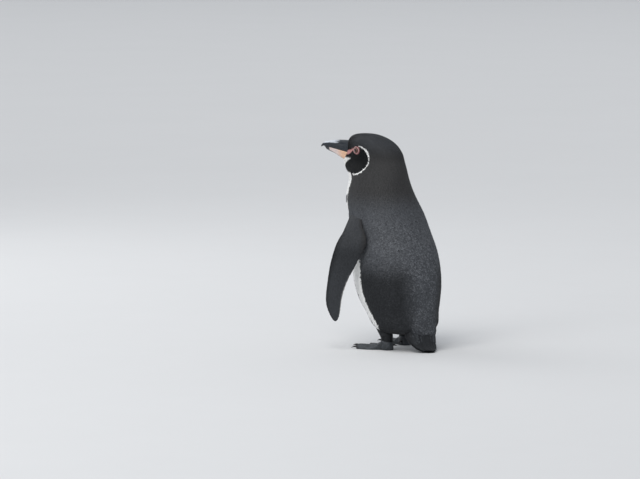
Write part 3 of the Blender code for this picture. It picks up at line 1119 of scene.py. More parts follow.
class SharedEffects:
    """Node groups that more than one finish uses, each built once."""

    def __init__(self) -> None:
        """Build the groups."""
        self.mottle, self.relief, self.plumage = self._mottle(), self._relief(), self._plumage()

    def _mottle(self) -> Tree:
        """Colour made uneven: two noises, coarse and fine, that darken and lighten it.

        Returns:
            The group.
        """
        graph, given, out = new_group(
            "mottle", {"Place": ("Vector", None), "Colour": ("Color", (0.5, 0.5, 0.5, 1)),
                       "Scale": ("Float", 60), "Amount": ("Float", 0.3)}, {"Colour": "Color"})
        coarse = graph.noise(given["Place"], given["Scale"], 4)
        fine = graph.noise(given["Place"], graph.math("MULTIPLY", given["Scale"], 7), 2)
        both = graph.math("ADD", graph.math("MULTIPLY", coarse, 1.6), graph.math("MULTIPLY", fine, 0.8))
        amount = graph.math("MULTIPLY", graph.math("SUBTRACT", both, 1.2), given["Amount"])
        graph.give(out, {"Colour": graph.shade(given["Colour"], graph.math("ADD", amount, 1))})
        return graph.tree

    def _relief(self) -> Tree:
        """Height of small cells and fine grain, in shares of the bump's distance.

        Returns:
            The group.
        """
        graph, given, out = new_group(
            "fine_relief", {"Place": ("Vector", None), "Cells": ("Float", 900),
                            "Cell share": ("Float", 0.6)}, {"Height": "Float"})
        cells = graph.add("ShaderNodeTexVoronoi", {"Vector": given["Place"], "Scale": given["Cells"]},
                          feature="DISTANCE_TO_EDGE").outputs["Distance"]
        values = {0: given["Cell share"], 2: graph.noise(given["Place"], 2600, 2),
                  3: graph.spread(cells, 0, 0.28, 0, 1)}
        graph.give(out, {"Height": graph.add("ShaderNodeMix", values, data_type="FLOAT").outputs[0]})
        return graph.tree

    def _plumage(self) -> Tree:
        """Colour of feather or of the skin under it, from the markings stored on the mesh.

        Returns:
            The group.
        """
        labels = ("Slate", "Tip", "Brown", "Black", "White", "Pink")
        graph, given, out = new_group(
            "plumage",
            {"Place": ("Vector", None), **{name: ("Color", (0.1, 0.1, 0.1, 1)) for name in labels}},
            {"Colour": "Color", "Roughness": "Float"})
        masks = {name: graph.attribute(name) for name in MASKS}
        patches = graph.spread(graph.noise(given["Place"], 38, 4), 0.3, 0.7, 0.6, 1.15)
        # pale tips: partly real, partly painted light where the mask is raised on the back and rear
        tip = graph.math("MULTIPLY", graph.spread(masks["reach"], 0.62, 1, 0, 1), masks["pale_tips_and_light"])
        dark = graph.mix(graph.math("MULTIPLY", tip, patches, clamp=True), given["Slate"], given["Tip"])
        dark = graph.mix(masks["brown"], dark, given["Brown"])
        dark = graph.mix(masks["black"], dark, given["Black"])
        fine = graph.spread(graph.noise(given["Place"], 1400, 2), 0.3, 0.7, 0.88, 1.12)
        shade = graph.math("MULTIPLY", graph.spread(masks["tone"], 0, 1, 0.82, 1.18), fine)
        pale = graph.shade(given["White"], graph.spread(masks["tone"], 0, 1, 0.9, 1))
        both = graph.mix(masks["white"], graph.shade(dark, shade), pale)
        speckle = graph.spread(graph.noise(given["Place"], 900, 2), 0.54, 0.68, 0, 0.5)
        skin = graph.mix(speckle, given["Pink"], given["Black"])
        graph.give(out, {"Colour": graph.mix(masks["bare"], both, skin),
                         "Roughness": graph.spread(masks["white"], 0, 1, 0.55, 0.75)})
        return graph.tree


class Finish:
    """Look of a surface; each kind of finish says what its shader is fed."""

    def inputs(self, graph: Graph, effects: SharedEffects) -> dict:
        """Feed of the Principled shader: name of each input to its value or link."""
        raise NotImplementedError

    def build(self, name: str, effects: SharedEffects) -> Material:
        """Material with a Principled shader that is fed by `inputs`.

        Args:
            name: name of the material.
            effects: shared groups.

        Returns:
            The material.
        """
        mat = bpy.data.materials.new(name)
        mat.use_nodes = True
        graph = Graph(mat.node_tree)
        graph.give(mat.node_tree.nodes["Principled BSDF"], self.inputs(graph, effects))
        return mat


@dataclass(frozen=True)
class PlumageFinish(Finish):
    """Feathers, or the skin that they grow from."""

    slate: tuple = (0.059, 0.063, 0.070)
    tip: tuple = (0.180, 0.188, 0.204)
    brown: tuple = (0.036, 0.0345, 0.0335)
    black: tuple = (0.006, 0.0066, 0.0074)
    white: tuple = (0.88, 0.88, 0.865)
    pink: tuple = (0.46, 0.22, 0.21)
    sheen: float = 0.03
    barbs: float = 3200.0
    gloss: float = 0.12
    relief: float = 0.12

    def inputs(self, graph: Graph, effects: SharedEffects) -> dict:
        """The plumage group, with fine barbs as bump.

        Args:
            graph: the material's nodes.
            effects: shared groups.

        Returns:
            Feed of the shader.
        """
        place = graph.place()
        colours = {label.title(): colour4(getattr(self, label))
                   for label in ("slate", "tip", "brown", "black", "white", "pink")}
        coat = graph.group(effects.plumage, {"Place": place, **colours})
        return {"Base Color": coat.outputs["Colour"], "Roughness": coat.outputs["Roughness"],
                "Sheen Weight": self.sheen, "Sheen Roughness": 0.4, "Specular IOR Level": self.gloss,
                "Normal": graph.bump(graph.noise(place, self.barbs, 2), self.relief, 0.6)}


@dataclass(frozen=True)
class LeatherFinish(Finish):
    """Bare skin of the feet and lids: small cells, uneven colour, paler worn patches."""

    colour: tuple
    worn: tuple
    cells: float = 1100.0
    relief: float = 0.18
    roughness: float = 0.5

    def inputs(self, graph: Graph, effects: SharedEffects) -> dict:
        """Mottled colour, paler worn patches and cell bumps.

        Args:
            graph: the material's nodes.
            effects: shared groups.

        Returns:
            Feed of the shader.
        """
        place = graph.place()
        wear = graph.spread(graph.noise(place, 160, 5), 0.45, 0.68, 0, 0.8)
        base = graph.mix(wear, colour4(self.colour), colour4(self.worn))
        mottled = graph.group(effects.mottle, {"Place": place, "Colour": base, "Scale": 220, "Amount": 0.35})
        relief = graph.group(effects.relief, {"Place": place, "Cells": self.cells})
        rough = graph.spread(graph.noise(place, 300), 0.3, 0.7, self.roughness - 0.1, self.roughness + 0.12)
        return {"Base Color": mottled.outputs["Colour"], "Roughness": rough,
                "Normal": graph.bump(relief.outputs["Height"], self.relief)}


@dataclass(frozen=True)
class HornFinish(Finish):
    """Horn of bill or claw: a dark and a pale colour parted by a mask on the mesh, with growth lines; on the
    upper bill the pale colour is mostly a painted highlight.
    """

    dark: tuple
    pale: tuple
    glow: tuple
    roughness: float = 0.30
    line_scale: float = 420.0

    def inputs(self, graph: Graph, effects: SharedEffects) -> dict:
        """The `pale` mask mixes the colours, and the `warm` mask tints the pale one.

        Args:
            graph: the material's nodes.
            effects: shared groups.

        Returns:
            Feed of the shader.
        """
        place = graph.place()
        along = graph.add("ShaderNodeMapping", {"Vector": place, "Scale": (1, 0.25, 1)}).outputs[0]
        grain = graph.noise(along, self.line_scale, 4)
        ragged = graph.math("ADD", graph.attribute("pale"), graph.spread(grain, 0.3, 0.7, -0.16, 0.16))
        pale = graph.mix(graph.attribute("warm"), colour4(self.pale), colour4(self.glow))
        base = graph.mix(graph.spread(ragged, 0.3, 0.7, 0, 1), colour4(self.dark), pale)
        mottled = graph.group(effects.mottle, {"Place": place, "Colour": base, "Scale": 260, "Amount": 0.25})
        rough = graph.spread(grain, 0.3, 0.7, self.roughness - 0.06, self.roughness + 0.12)
        return {"Base Color": mottled.outputs["Colour"], "Roughness": rough,
                "Normal": graph.bump(grain, 0.08)}


@dataclass(frozen=True)
class EyeFinish(Finish):
    """Wet eye: black pupil, red-brown iris with streaks, dark rim."""

    iris: tuple = (0.13, 0.032, 0.014)
    iris_deep: tuple = (0.035, 0.009, 0.005)
    rim: tuple = (0.004, 0.0035, 0.0035)
    pupil: float = 0.36
    iris_end: float = 0.74

    def inputs(self, graph: Graph, effects: SharedEffects) -> dict:
        """Colours by the angle from the gaze, stored on the mesh as `polar`.

        Args:
            graph: the material's nodes.
            effects: shared groups.

        Returns:
            Feed of the shader.
        """
        place, polar = graph.place(), graph.attribute("polar")
        streaks = graph.spread(graph.noise(place, 1500), 0.35, 0.65, 0, 1)
        iris = graph.mix(streaks, colour4(self.iris_deep), colour4(self.iris))
        opened = graph.spread(polar, self.pupil - 0.02, self.pupil + 0.03, 0, 1)
        edge = graph.spread(polar, self.iris_end - 0.1, self.iris_end, 0, 1)
        colour = graph.mix(edge, graph.mix(opened, colour4(self.rim), iris), colour4(self.rim))
        rough = graph.spread(graph.noise(place, 500), 0.3, 0.7, 0.12, 0.2)
        return {"Base Color": colour, "Roughness": rough, "Specular IOR Level": 0.15,
                "Coat Weight": 1, "Coat Roughness": 0.02, "Coat IOR": 1.38}


@dataclass(frozen=True)
class FloorFinish(Finish):
    """Plain pale studio floor."""

    colour: tuple = (0.66, 0.665, 0.67)

    def inputs(self, graph: Graph, effects: SharedEffects) -> dict:
        """Matt and barely uneven.

        Args:
            graph: the material's nodes.
            effects: shared groups.

        Returns:
            Feed of the shader.
        """
        mottled = graph.group(effects.mottle, {"Place": graph.place(), "Colour": colour4(self.colour),
                                               "Scale": 2, "Amount": 0.02})
        return {"Base Color": mottled.outputs["Colour"], "Roughness": 0.85}


# ---- skin

@dataclass(frozen=True)
class Underlay:
    """Low forms of the face, and how deep the skin lies under the outline of the plumage.

    Each bell holds a height, the place ahead, to the left and up in the head's frame, and the radius:
    brow, hollow round the eye, hollow of the lores, and full cheek.
    """

    head: Head
    bells: tuple = ((0.7, 17, 22, 325.5, 5.5), (-0.9, 18, 24, 316, 7.5), (-1, 34, 18, 315, 7),
                    (0.6, 14, 28, 303, 8))
    trunk: float = 3.2
    crown: float = 1.3
    face_share: float = 0.4

    def relief(self, points: Array) -> Array:
        """Sum of the bells at points."""
        seen = self.head.fold(points)
        return sum(rise * bump(norm(seen - place, axis=1), radius) for rise, *place, radius in self.bells)

    def face_distance(self, points: Array) -> Array:
        """Distance from the nearest bare edge: the ring round an eye or the root of the bill.

        Args:
            points: places.

        Returns:
            Distances, 0 on bare parts.
        """
        seen = self.head.fold(points)
        eye = array([self.head.eye_forward, self.head.eye_left + 3, self.head.eye_height])
        bill = array([self.head.bill_base, 0, self.head.bill_height - 1])
        from_eye = norm(seen - eye, axis=1) - 6.5
        from_bill = norm((seen - bill) * [1, 1, 0.55], axis=1) - 9
        return maximum(minimum(from_eye, from_bill), 0)

    def depth(self, points: Array) -> Array:
        """Depth of the coat, thin on the face.

        Args:
            points: (n, 3) places on the outline.

        Returns:
            Depths.
        """
        full = self.trunk + (self.crown - self.trunk) * ease(236, 285, points[:, 2])
        share = ease(-6, 28, self.face_distance(points))
        low = where(points[:, 2] > 262, self.face_share, 1)
        return full * (low + (1 - low) * share)


@dataclass
class Forms:
    """All the forms of the bird that its skin and its coat are laid on, derived from the body."""

    body: Body = field(default_factory=Body)

    def __post_init__(self) -> None:
        """Derive the other forms."""
        self.head = Head(self.body)
        self.marks = Markings(self.body, self.head)
        self.feet = {side: Foot(side) for side in Side}
        self.legs = {side: LegForm(side, tuple(self.feet[side].ankle()), tuple(self.feet[side].hip()))
                     for side in Side}
        self.flippers = {side: FlipperForm(side) for side in Side}
        self.tail, self.bill, self.underlay = TailForm(), Bill(self.head), Underlay(self.head)


MASKS = ("white", "brown", "black", "bare", "tone", "reach", "pale_tips_and_light")


@dataclass
class Skin(Forms):
    """One closed skin of body, flippers, tail root, legs, feet and lids, joined by a manifold union."""

    columns: int = 300
    front_crowding: float = 0.45
    flipper_shrink: float = 0.55
    tail_shrink: float = 1.6
    leg_shrink: float = 1.1
    lid_radius: float = 5.7
    lid_thickness: float = 0.82
    lid_height: float = 3.85
    tail_end: float = 0.84
    socket_gap: float = 0.08
    # rings and points in each
    flipper_grid: tuple = (120, 64)
    leg_grid: tuple = (24, 64)
    tail_grid: tuple = (50, 64)
    lid_grid: tuple = (96, 20)
    socket_grid: tuple = (40, 64)

    def heights(self) -> Array:
        """Rings: close on the face, and toward both rounded ends as cos^(2 / P).

        Returns:
            Increasing heights.
        """
        body = self.body
        low = linspace(0, pi / 2, 13)[1:]
        high = linspace(0, pi / 2, 19)[1:]
        foot = body.bottom + body.bottom_cap * (1 - cos(low) ** (2 / body.bottom_power))
        top = body.crown - body.crown_cap * (1 - cos(high) ** (2 / body.crown_power))
        middle = [arange(foot[-1], 236, 3.6), arange(236, 284, 2), arange(284, top[-1], 0.9)]
        return np.unique(np.round(concatenate([foot, *middle, top]), 4))

    def trunk_part(self) -> Piece:
        """Head, neck and trunk, sunk by the coat's depth, with the face's relief.

        Returns:
            The closed part.
        """
        turns = arange(self.columns) / self.columns * TAU
        angle = turns - self.front_crowding * sin(turns) - pi / 2
        heights = self.heights()
        grid = self.body.surface(*meshgrid(heights, angle, indexing="ij"))
        flat = grid.reshape(-1, 3)
        lift = self.underlay.relief(flat) - self.underlay.depth(flat)
        sunk = (flat + self.body.normal(flat) * lift[:, None]).reshape(grid.shape)
        ends = self.body.surface(array([self.body.bottom, self.body.crown]), zeros(2))
        ends = ends + array([[0, 0, self.underlay.trunk], [0, 0, -self.underlay.crown]])
        return grid_piece("skin_body", sunk, ends[0], ends[1])

    def lid(self, side: Side) -> Piece:
        """Fleshy ring round an eye: an oval torus with radial creases, its crest 0.6 mm proud.

        Args:
            side: which eye.

        Returns:
            The closed part.
        """
        centre, axis = self.head.eye(side), self.head.gaze(side)
        up = unit(array([0, 0, 1]) - axis * axis[2])
        across = cross(up, axis)
        around, tube = meshgrid(*(arange(n) / n * TAU for n in self.lid_grid), indexing="ij")
        creases = 0.05 * cos(26 * around) * (cos(tube) > -0.3)
        radius = self.lid_radius + (self.lid_thickness * 1.15 + creases) * cos(tube)
        height = self.lid_height + (self.lid_thickness * 0.95 + creases) * sin(tube)
        corner = 1 + 0.07 * cos(around) ** 2
        grid = (centre + axis * height[..., None]
                + across * (radius * corner * cos(around))[..., None]
                + up * (radius * 0.93 * sin(around))[..., None])
        index = arange(around.size).reshape(self.lid_grid)
        a, b = index, roll(index, -1, axis=0)
        c, d = roll(b, -1, axis=1), roll(index, -1, axis=1)
        triangles = stack([a, b, c, a, c, d], axis=-1).reshape(-1, 3)
        points = grid.reshape(-1, 3)
        return make_piece("skin_lid_" + side.word, points, outward(points, triangles))

    def socket(self, side: Side) -> Piece:
        """Ball that is cut out of the skin for the eye.

        Args:
            side: which eye.

        Returns:
            The ball.
        """
        ball = sphere_grid(self.head.eye(side), self.head.gaze(side),
                           self.head.eye_radius + self.socket_gap, *self.socket_grid)
        return grid_piece("socket_" + side.word, ball)

    def parts(self) -> list[tuple[Piece, str]]:
        """All closed parts of the skin, painted.

        Returns:
            Each part with the kind of its finish.
        """
        found = [(self.trunk_part(), "feathered", self.marks.masks)]
        for side in Side:
            flipper, leg = self.flippers[side], self.legs[side]
            blade = flipper.grid(*self.flipper_grid, self.flipper_shrink)
            shank = leg.grid(*self.leg_grid, self.leg_shrink)
            found += [
                (grid_piece("skin_flipper_" + side.word, blade), "feathered", flipper.masks),
                (grid_piece("skin_leg_" + side.word, shank), "feathered", leg.masks),
                (grid_piece("skin_foot_" + side.word, self.feet[side].grid()), "leather", self.marks.masks),
                (self.lid(side), "lid", lambda p: {**self.marks.masks(p), "bare": np.ones(len(p))})]
        tail = self.tail.grid(*self.tail_grid, self.tail_shrink, self.tail_end)
        found.append((grid_piece("skin_tail", tail), "feathered", self.marks.masks))
        for obj, _, masks in found:
            points = vertices_of(obj)
            plain = {"tone": 0.35, "reach": 0, "pale_tips_and_light": 0, "kept": 1}
            values = {name: np.full(len(points), value) for name, value in plain.items()}
            for name, mask in {**values, **masks(points)}.items():
                set_attribute(obj, name, mask)
        return [(obj, kind) for obj, kind, _ in found]

    def build(self, materials: dict) -> Piece:
        """Join the parts, cut the sockets and fill in the markings along the joins.

        Args:
            materials: kind of part to material.

        Returns:
            The skin as one object.
        """
        joined = bpy.data.collections.new("skin_parts")
        sockets = bpy.data.collections.new("skin_sockets")
        main = None
        for obj, kind in self.parts():
            obj.data.materials.append(materials[kind])
            if main is None:
                main = obj
                continue
            joined.objects.link(obj)
        for side in Side:
            sockets.objects.link(self.socket(side))
        for collection, operation in ((joined, "UNION"), (sockets, "DIFFERENCE")):
            step = main.modifiers.new(operation.lower(), "BOOLEAN")
            step.operation, step.solver = operation, "MANIFOLD"
            step.operand_type, step.collection = "COLLECTION", collection
            step.material_mode = "TRANSFER"
        bpy.context.view_layer.update()
        graph = bpy.context.evaluated_depsgraph_get()
        mesh = bpy.data.meshes.new_from_object(main.evaluated_get(graph))
        mesh.name = "penguin_skin"
        for obj in [main, *joined.objects, *sockets.objects]:
            bpy.data.objects.remove(obj)
        skin = bpy.data.objects.new("penguin_skin", mesh)
        bpy.context.scene.collection.objects.link(skin)
        fill_joins(mesh)
        return skin


def fill_joins(mesh: bpy.types.Mesh) -> None:
    """Give vertices made by the union the mean of their neighbours' markings, over six rounds.

    Args:
        mesh: the joined skin.
    """
    a, b = fetch(mesh.edges, "vertices", 2, np.int32).T
    kept = fetch(mesh.attributes["kept"].data, "value", 1, np.float32)[:, 0]
    for name in MASKS:
        values = fetch(mesh.attributes[name].data, "value", 1, np.float32)[:, 0]
        known = kept > 0.5
        for _ in range(6):
            total, weight = np.zeros_like(values), np.zeros_like(values)
            for start, end in ((a, b), (b, a)):
                np.add.at(total, start, values[end] * known[end])
                np.add.at(weight, start, known[end])
            fresh = ~known & (weight > 0)
            values[fresh] = total[fresh] / weight[fresh]
            known = known | fresh
        mesh.attributes[name].data.foreach_set("value", values)


def sphere_grid(centre: Array, axis: Array, radius: float, rings: int, around: int,
                bulge: float = 0.0) -> Array:
    """Rings of a ball round an axis: radius + bulge exp(-(polar / 0.5)^2) at each polar angle.

    Args:
        centre: middle of the ball.
        axis: unit vector to its first pole.
        radius: its radius.
        rings: number of rings.
        around: points in each.
        bulge: height of the bulge at the first pole.

    Returns:
        (rings, around, 3) points.
    """
    up = unit(array([0, 0, 1]) - axis * axis[2])
    side = cross(up, axis)
    polar, turn = meshgrid(linspace(0, pi, rings + 2)[1:-1], arange(around) / around * TAU, indexing="ij")
    reach = radius + bulge * bump(polar, 0.5)
    return (centre + axis * (reach * cos(polar))[..., None]
            + side * (reach * sin(polar) * cos(turn))[..., None]
            + up * (reach * sin(polar) * sin(turn))[..., None])


# ---- feathers

@dataclass
class Roots:
    """Where feathers start on a surface: shares along and around it, and their points."""

    u: Array
    v: Array
    points: Array


def scatter(surface: Callable, spacing: Callable, rows: int = 160, around: int = 120) -> Roots:
    """Spread roots evenly: area over spacing^2 gives their number along u, golden-ratio steps their v.

    Args:
        surface: points from shares u and v.
        spacing: distance between roots, from points.
        rows: rows of the table of areas.
        around: columns of the table of areas.

    Returns:
        The roots, from u = 0 to u = 1.
    """
    u, v = linspace(0, 1, rows), linspace(0, 1, around + 1)
    grid = surface(*meshgrid(u, v, indexing="ij"))
    along, across = np.diff(grid, axis=0)[:, :-1], np.diff(grid, axis=1)[:-1]
    middle = (grid[:-1, :-1] + grid[1:, 1:]) / 2
    weight = norm(cross(along, across), axis=-1)
    weight = weight / spacing(middle.reshape(-1, 3)).reshape(weight.shape) ** 2 + 1e-9
    total = concatenate([[0], np.cumsum(weight.sum(axis=1))])
    order = arange(int(total[-1]))
    at_u = interp((order + 0.5) / len(order) * total[-1], total, u)
    turn = (order * GOLDEN) % 1
    steps = np.cumsum(np.hstack([zeros((rows - 1, 1)), weight]), axis=1)
    steps /= steps[:, -1:]
    opened = stack([interp(v, row, v) for row in steps])
    place = clip(at_u * (rows - 1) - 0.5, 0, rows - 2.001)
    row, cell = place.astype(int), (turn * around).astype(int)
    down, part = place - row, turn * around - cell
    upper = opened[row, cell] * (1 - part) + opened[row, cell + 1] * part
    lower = opened[row + 1, cell] * (1 - part) + opened[row + 1, cell + 1] * part
    at_v = upper * (1 - down) + lower * down
    return Roots(at_u, at_v, surface(at_u, at_v))


@dataclass
class Feathers:
    """A batch of feathers: the midline of each, its normals, widths, and what it carries."""

    lines: Array      # (n, 4, 3) midline from root to tip
    normals: Array    # (n, 4, 3)
    widths: Array     # (n,)
    unwrap: Array     # (n, 2) root's place on the unwrapped skin, 0 to 1
    masks: dict       # name to (n,)

    def keep(self, chosen: Array) -> "Feathers":
        """Only the chosen feathers."""
        return Feathers(self.lines[chosen], self.normals[chosen], self.widths[chosen],
                        self.unwrap[chosen], {k: m[chosen] for k, m in self.masks.items()})


@dataclass(frozen=True)
class Vane:
    """Shape of one small feather: a closed lens with a round tip, on a midline of four points.

    Its rim is listed as (midline station, share toward the next, share of the width, reach).
    """

    thickness: float = 0.15
    camber: float = 0.09       # drop of the edges, as a share of the width
    patch: float = 0.0015      # half the size of its patch on the unwrap

    RIM = ((0, 0, 0, 0), (1, 0, -0.46, 0.5), (1, 0, 0.46, 0.5), (2, 0, -0.46, 0.88), (2, 0, 0.46, 0.88),
           (2, 0.72, -0.27, 1), (2, 0.72, 0.27, 1), (2, 1, 0, 1))
    INNER_REACH = (0.35, 0.7, 0.6)
    OUTLINE = (0, 2, 4, 6, 7, 5, 3, 1)
    TOP = ((0, 2, 8), (0, 8, 1), (2, 4, 9), (2, 9, 8), (1, 8, 9), (1, 9, 3), (4, 6, 9), (3, 9, 5),
           (6, 7, 9), (5, 9, 7))

    def build(self, name: str, feathers: Feathers) -> Piece:
        """Closed meshes of all feathers in one piece.

        Rim points stand aside from the midline by their share of the width and drop by the camber;
        two ridge points rise by half the thickness and one lies under the middle.

        Args:
            name: piece name.
            feathers: the batch.

        Returns:
            The piece, with the markings and the OFBake map.
        """
        lines, normals, count = feathers.lines, feathers.normals, len(feathers.lines)
        right = unit(cross(unit(np.gradient(lines, axis=1)), normals))
        wide = feathers.widths[:, None]
        drop = normals * (self.camber * wide)[..., None]
        rim = []
        for station, onward, share, _ in self.RIM:
            step = (lines[:, min(station + 1, 3)] - lines[:, station]) * onward
            rim.append(lines[:, station] + step + right[:, station] * wide * share
                       - drop[:, station] * (share != 0))
        inner = [lines[:, k] + normals[:, k] * self.thickness / 2 for k in (1, 2)]
        under = (lines[:, 1] + lines[:, 2]) / 2 - normals[:, 1] * self.thickness - drop[:, 1]
        points = stack([*rim, *inner, under], axis=1)
        size, ring = points.shape[1], self.OUTLINE
        below = tuple((ring[(i + 1) % len(ring)], ring[i], size - 1) for i in range(len(ring)))
        faces = (array(self.TOP + below)[None] + size * arange(count)[:, None, None]).reshape(-1, 3)
        obj = make_piece(name, points.reshape(-1, 3), faces)
        edges = fetch(obj.data.edges, "vertices", 2, np.int32)
        layer = obj.data.attributes.new("sharp_edge", "BOOLEAN", "EDGE")
        layer.data.foreach_set("value", (edges % size < len(ring)).all(axis=1))
        for mask, values in feathers.masks.items():
            set_attribute(obj, mask, repeat(values, size))
        set_attribute(obj, "reach", np.tile([*(r[3] for r in self.RIM), *self.INNER_REACH], count))
        local = [(2 * share, 2 * reach - 1) for _, _, share, reach in self.RIM]
        local += [(0, 0), (0, 0.6), (0, 0.2)]
        place = (0.01 + 0.98 * feathers.unwrap)[:, None, :] + array(local) * self.patch
        set_unwrap(obj, place.reshape(-1, 2), faces)
        return obj


@dataclass
class Coat(Forms):
    """Feathers over body, flippers, legs and the tail's root."""

    vane: Vane = field(default_factory=Vane)
    # at three heights: spacing and length of the feathers of trunk, neck and head
    levels: tuple = (200, 252, 292)
    spacing: tuple = (2.1, 1.65, 1.03)
    length: tuple = (9.5, 7, 3.7)
    face_length: float = 1.7
    slimness: float = 0.40
    stations: tuple = (0, 0.45, 0.8, 1)
    rise_power: float = 1.7
    lean: float = 0.09                  # spread of the lie, in radians
    hang_longer: float = 0.35
    eye_clearance: float = 7.7
    spot_share: float = 0.004
    # spacing, length and depth
    flipper_coat: tuple = (1.5, 4.0, 0.55)
    leg_coat: tuple = (1.6, 5.0, 1.1)
    tail_coat: tuple = (2.0, 10.0, 1.6)
    scatter_table: tuple = (320, 240)
    seed: int = 7
    most_per_piece: int = 11000

    def body_surface(self, u: Array, v: Array) -> Array:
        """Body outline from shares.

        Args:
            u: shares from the crown to the underside, eased into both ends.
            v: shares once around.

        Returns:
            Points of the outline.
        """
        body = self.body
        turn = linspace(0, pi / 2, 40)
        top = body.crown - body.crown_cap * (1 - cos(turn) ** (2 / body.crown_power))
        foot = body.bottom + body.bottom_cap * (1 - cos(turn[::-1]) ** (2 / body.bottom_power))
        table = concatenate([top, linspace(top[-1], foot[0], 120)[1:-1], foot])
        return body.surface(interp(u, linspace(0, 1, len(table)), table), TAU * v + pi / 2)

    def flow(self, points: Array, normals: Array) -> Array:
        """Lie of the coat: away from the bill, down the trunk, then to the tail's tip.

        Args:
            points: (n, 3) roots.
            normals: unit vectors out of the body.

        Returns:
            Unit vectors along the surface.
        """
        away = points - self.head.bill_root()
        share = ease(250, 292, points[:, 2])[:, None]
        fall = ease(45, 100, norm(away, axis=1))[:, None] * 1.6
        head_way = unit(away) + fall * array([0, 0, -1])
        back = ease(80, 30, points[:, 2])[:, None]
        to_tail = unit(array([0, 85, 0]) - points)
        trunk_way = (1 - back) * array([0, 0.22, -1]) + back * to_tail
        way = share * unit(head_way) + (1 - share) * unit(trunk_way)
        return unit(way - normals * dot(way, normals))

    @staticmethod
    def turn(way: Array, normals: Array, angles: Array) -> Array:
        """Directions turned in the tangent plane."""
        return way * cos(angles)[:, None] + cross(normals, way) * sin(angles)[:, None]

    def body_feathers(self) -> Feathers:
        """All feathers of head, neck and trunk.

        Each midline leaves the skin at the root and nears the outline as 1 - (1 - t)^1.7, settled on
        the body at every station. Low on the back the line grows longer and hangs straight, over
        the root of the tail.

        Returns:
            The feathers, in the order in which they are scattered.
        """
        rng = np.random.default_rng(self.seed)
        roots = scatter(self.body_surface, lambda p: interp(p[:, 2], self.levels, self.spacing),
                        *self.scatter_table)
        count, height = len(roots.points), roots.points[:, 2]
        normals = self.body.normal(roots.points)
        way = self.flow(roots.points, normals)
        step = interp(height, self.levels, self.spacing) * rng.uniform(-0.45, 0.45, (2, count))
        start = roots.points + way * step[0][:, None] + cross(normals, way) * step[1][:, None]
        face = where(height > 262, ease(0, 26, self.underlay.face_distance(start)), 1)
        full = interp(height, self.levels, self.length)
        length = self.face_length + (full - self.face_length) * face
        length = length * rng.uniform(0.88, 1.14, count)
        keep = self.free_roots(start, way, length)
        start, normals, length, face = start[keep], normals[keep], length[keep], face[keep]
        way = self.turn(way[keep], normals, rng.normal(0, self.lean, keep.sum()))
        hang = ease(104, 128, self.body.bearing(start)) * ease(64, 44, start[:, 2])
        hang *= ease(32, 23, abs(start[:, 0])) * ease(0.2, 0.6, normals[:, 1])
        length = length * (1 + self.hang_longer * hang)
        way = unit(way + (array([0, 0.1, -1]) - way) * hang[:, None])
        normals = unit(normals + (array([0, 1, 0.1]) - normals) * hang[:, None])
        settled = self.body.settle(start, zeros(len(start)))
        depth, relief = self.underlay.depth(settled), self.underlay.relief(settled)
        ruffle = rng.uniform(0.90, 1.03, len(start))
        lines = []
        for t in self.stations:
            rise = depth * (1 - (1 - t) ** self.rise_power) * ruffle - 0.12 * (t == 0)
            straight = start + way * (length * t)[:, None]
            laid = self.body.settle(straight, rise - depth + relief)
            hung = straight + normals * (rise - depth)[:, None]
            lines.append(laid + (hung - laid) * hang[:, None])
        lines = stack(lines, axis=1)
        middle, end = self.body.normal(lines[:, 1]), self.body.normal(lines[:, 3])
        found = stack([middle, middle, unit(middle + end), end], axis=1)
        found = unit(found + (normals[:, None] - found) * hang[:, None, None])
        unwrap = np.column_stack([roots.v[keep], roots.u[keep]])
        widths = length * (self.slimness + 0.2 * (1 - face))
        return Feathers(lines, found, widths, unwrap, self.masks_at(settled, rng))

    def free_roots(self, start: Array, way: Array, length: Array) -> Array:
        """Which roots stay: outside the flippers, and clear of eyes, bare skin and bill.

        Args:
            start: (n, 3) roots.
            way: direction of each feather.
            length: length of each feather.

        Returns:
            Whether each root stays.
        """
        tip = start + way * length[:, None]
        keep = (self.marks.bare(start) < 0.45) & (self.marks.bare(start + (tip - start) * 0.8) < 0.8)
        keep &= ~self.bill.holds(start, 0.3)
        for side in Side:
            for place in (start, (start + tip) / 2, tip):
                keep &= norm(place - self.head.eye(side), axis=1) > self.eye_clearance
            keep &= ~self.flippers[side].inside(start)
        return keep & ~self.tail.inside(start)

    def masks_at(self, points: Array, rng: np.random.Generator) -> dict:
        """Markings of feathers, with uneven tone, pale tips on the back that are raised as painted light,
        and dark spots below.

        Args:
            points: roots, settled on the outline.
            rng: source of the random draws.

        Returns:
            Mask name to values.
        """
        count, height = len(points), points[:, 2]
        reach = interp(height, (250, 285), (0.45, 0.18))
        masks = self.marks.masks(points + rng.normal(0, 1, (count, 3)) * reach[:, None])
        masks["white"] = ease(0.25, 0.75, masks["white"] + rng.uniform(-0.2, 0.2, count))
        masks["bare"] = zeros(count)
        masks["tone"] = rng.beta(2.2, 2.2, count)
        bearing = self.body.bearing(points)
        # pale feather tips, raised on the back and low on the rear: partly real tips, partly painted light
        # from above and from behind
        low = ease(135, 165, bearing) * ease(190, 110, height)
        back = ease(80, 130, bearing) * ease(240, 196, height)
        masks["pale_tips_and_light"] = (0.16 + 0.55 * back + 0.5 * low) * rng.random(count) ** (1 + low)
        spotted = (height < 215) & (bearing < 46) & (rng.random(count) < self.spot_share)
        masks["white"] = where(spotted, 0, masks["white"])
        masks["black"] = where(spotted, 1, masks["black"])
        return masks

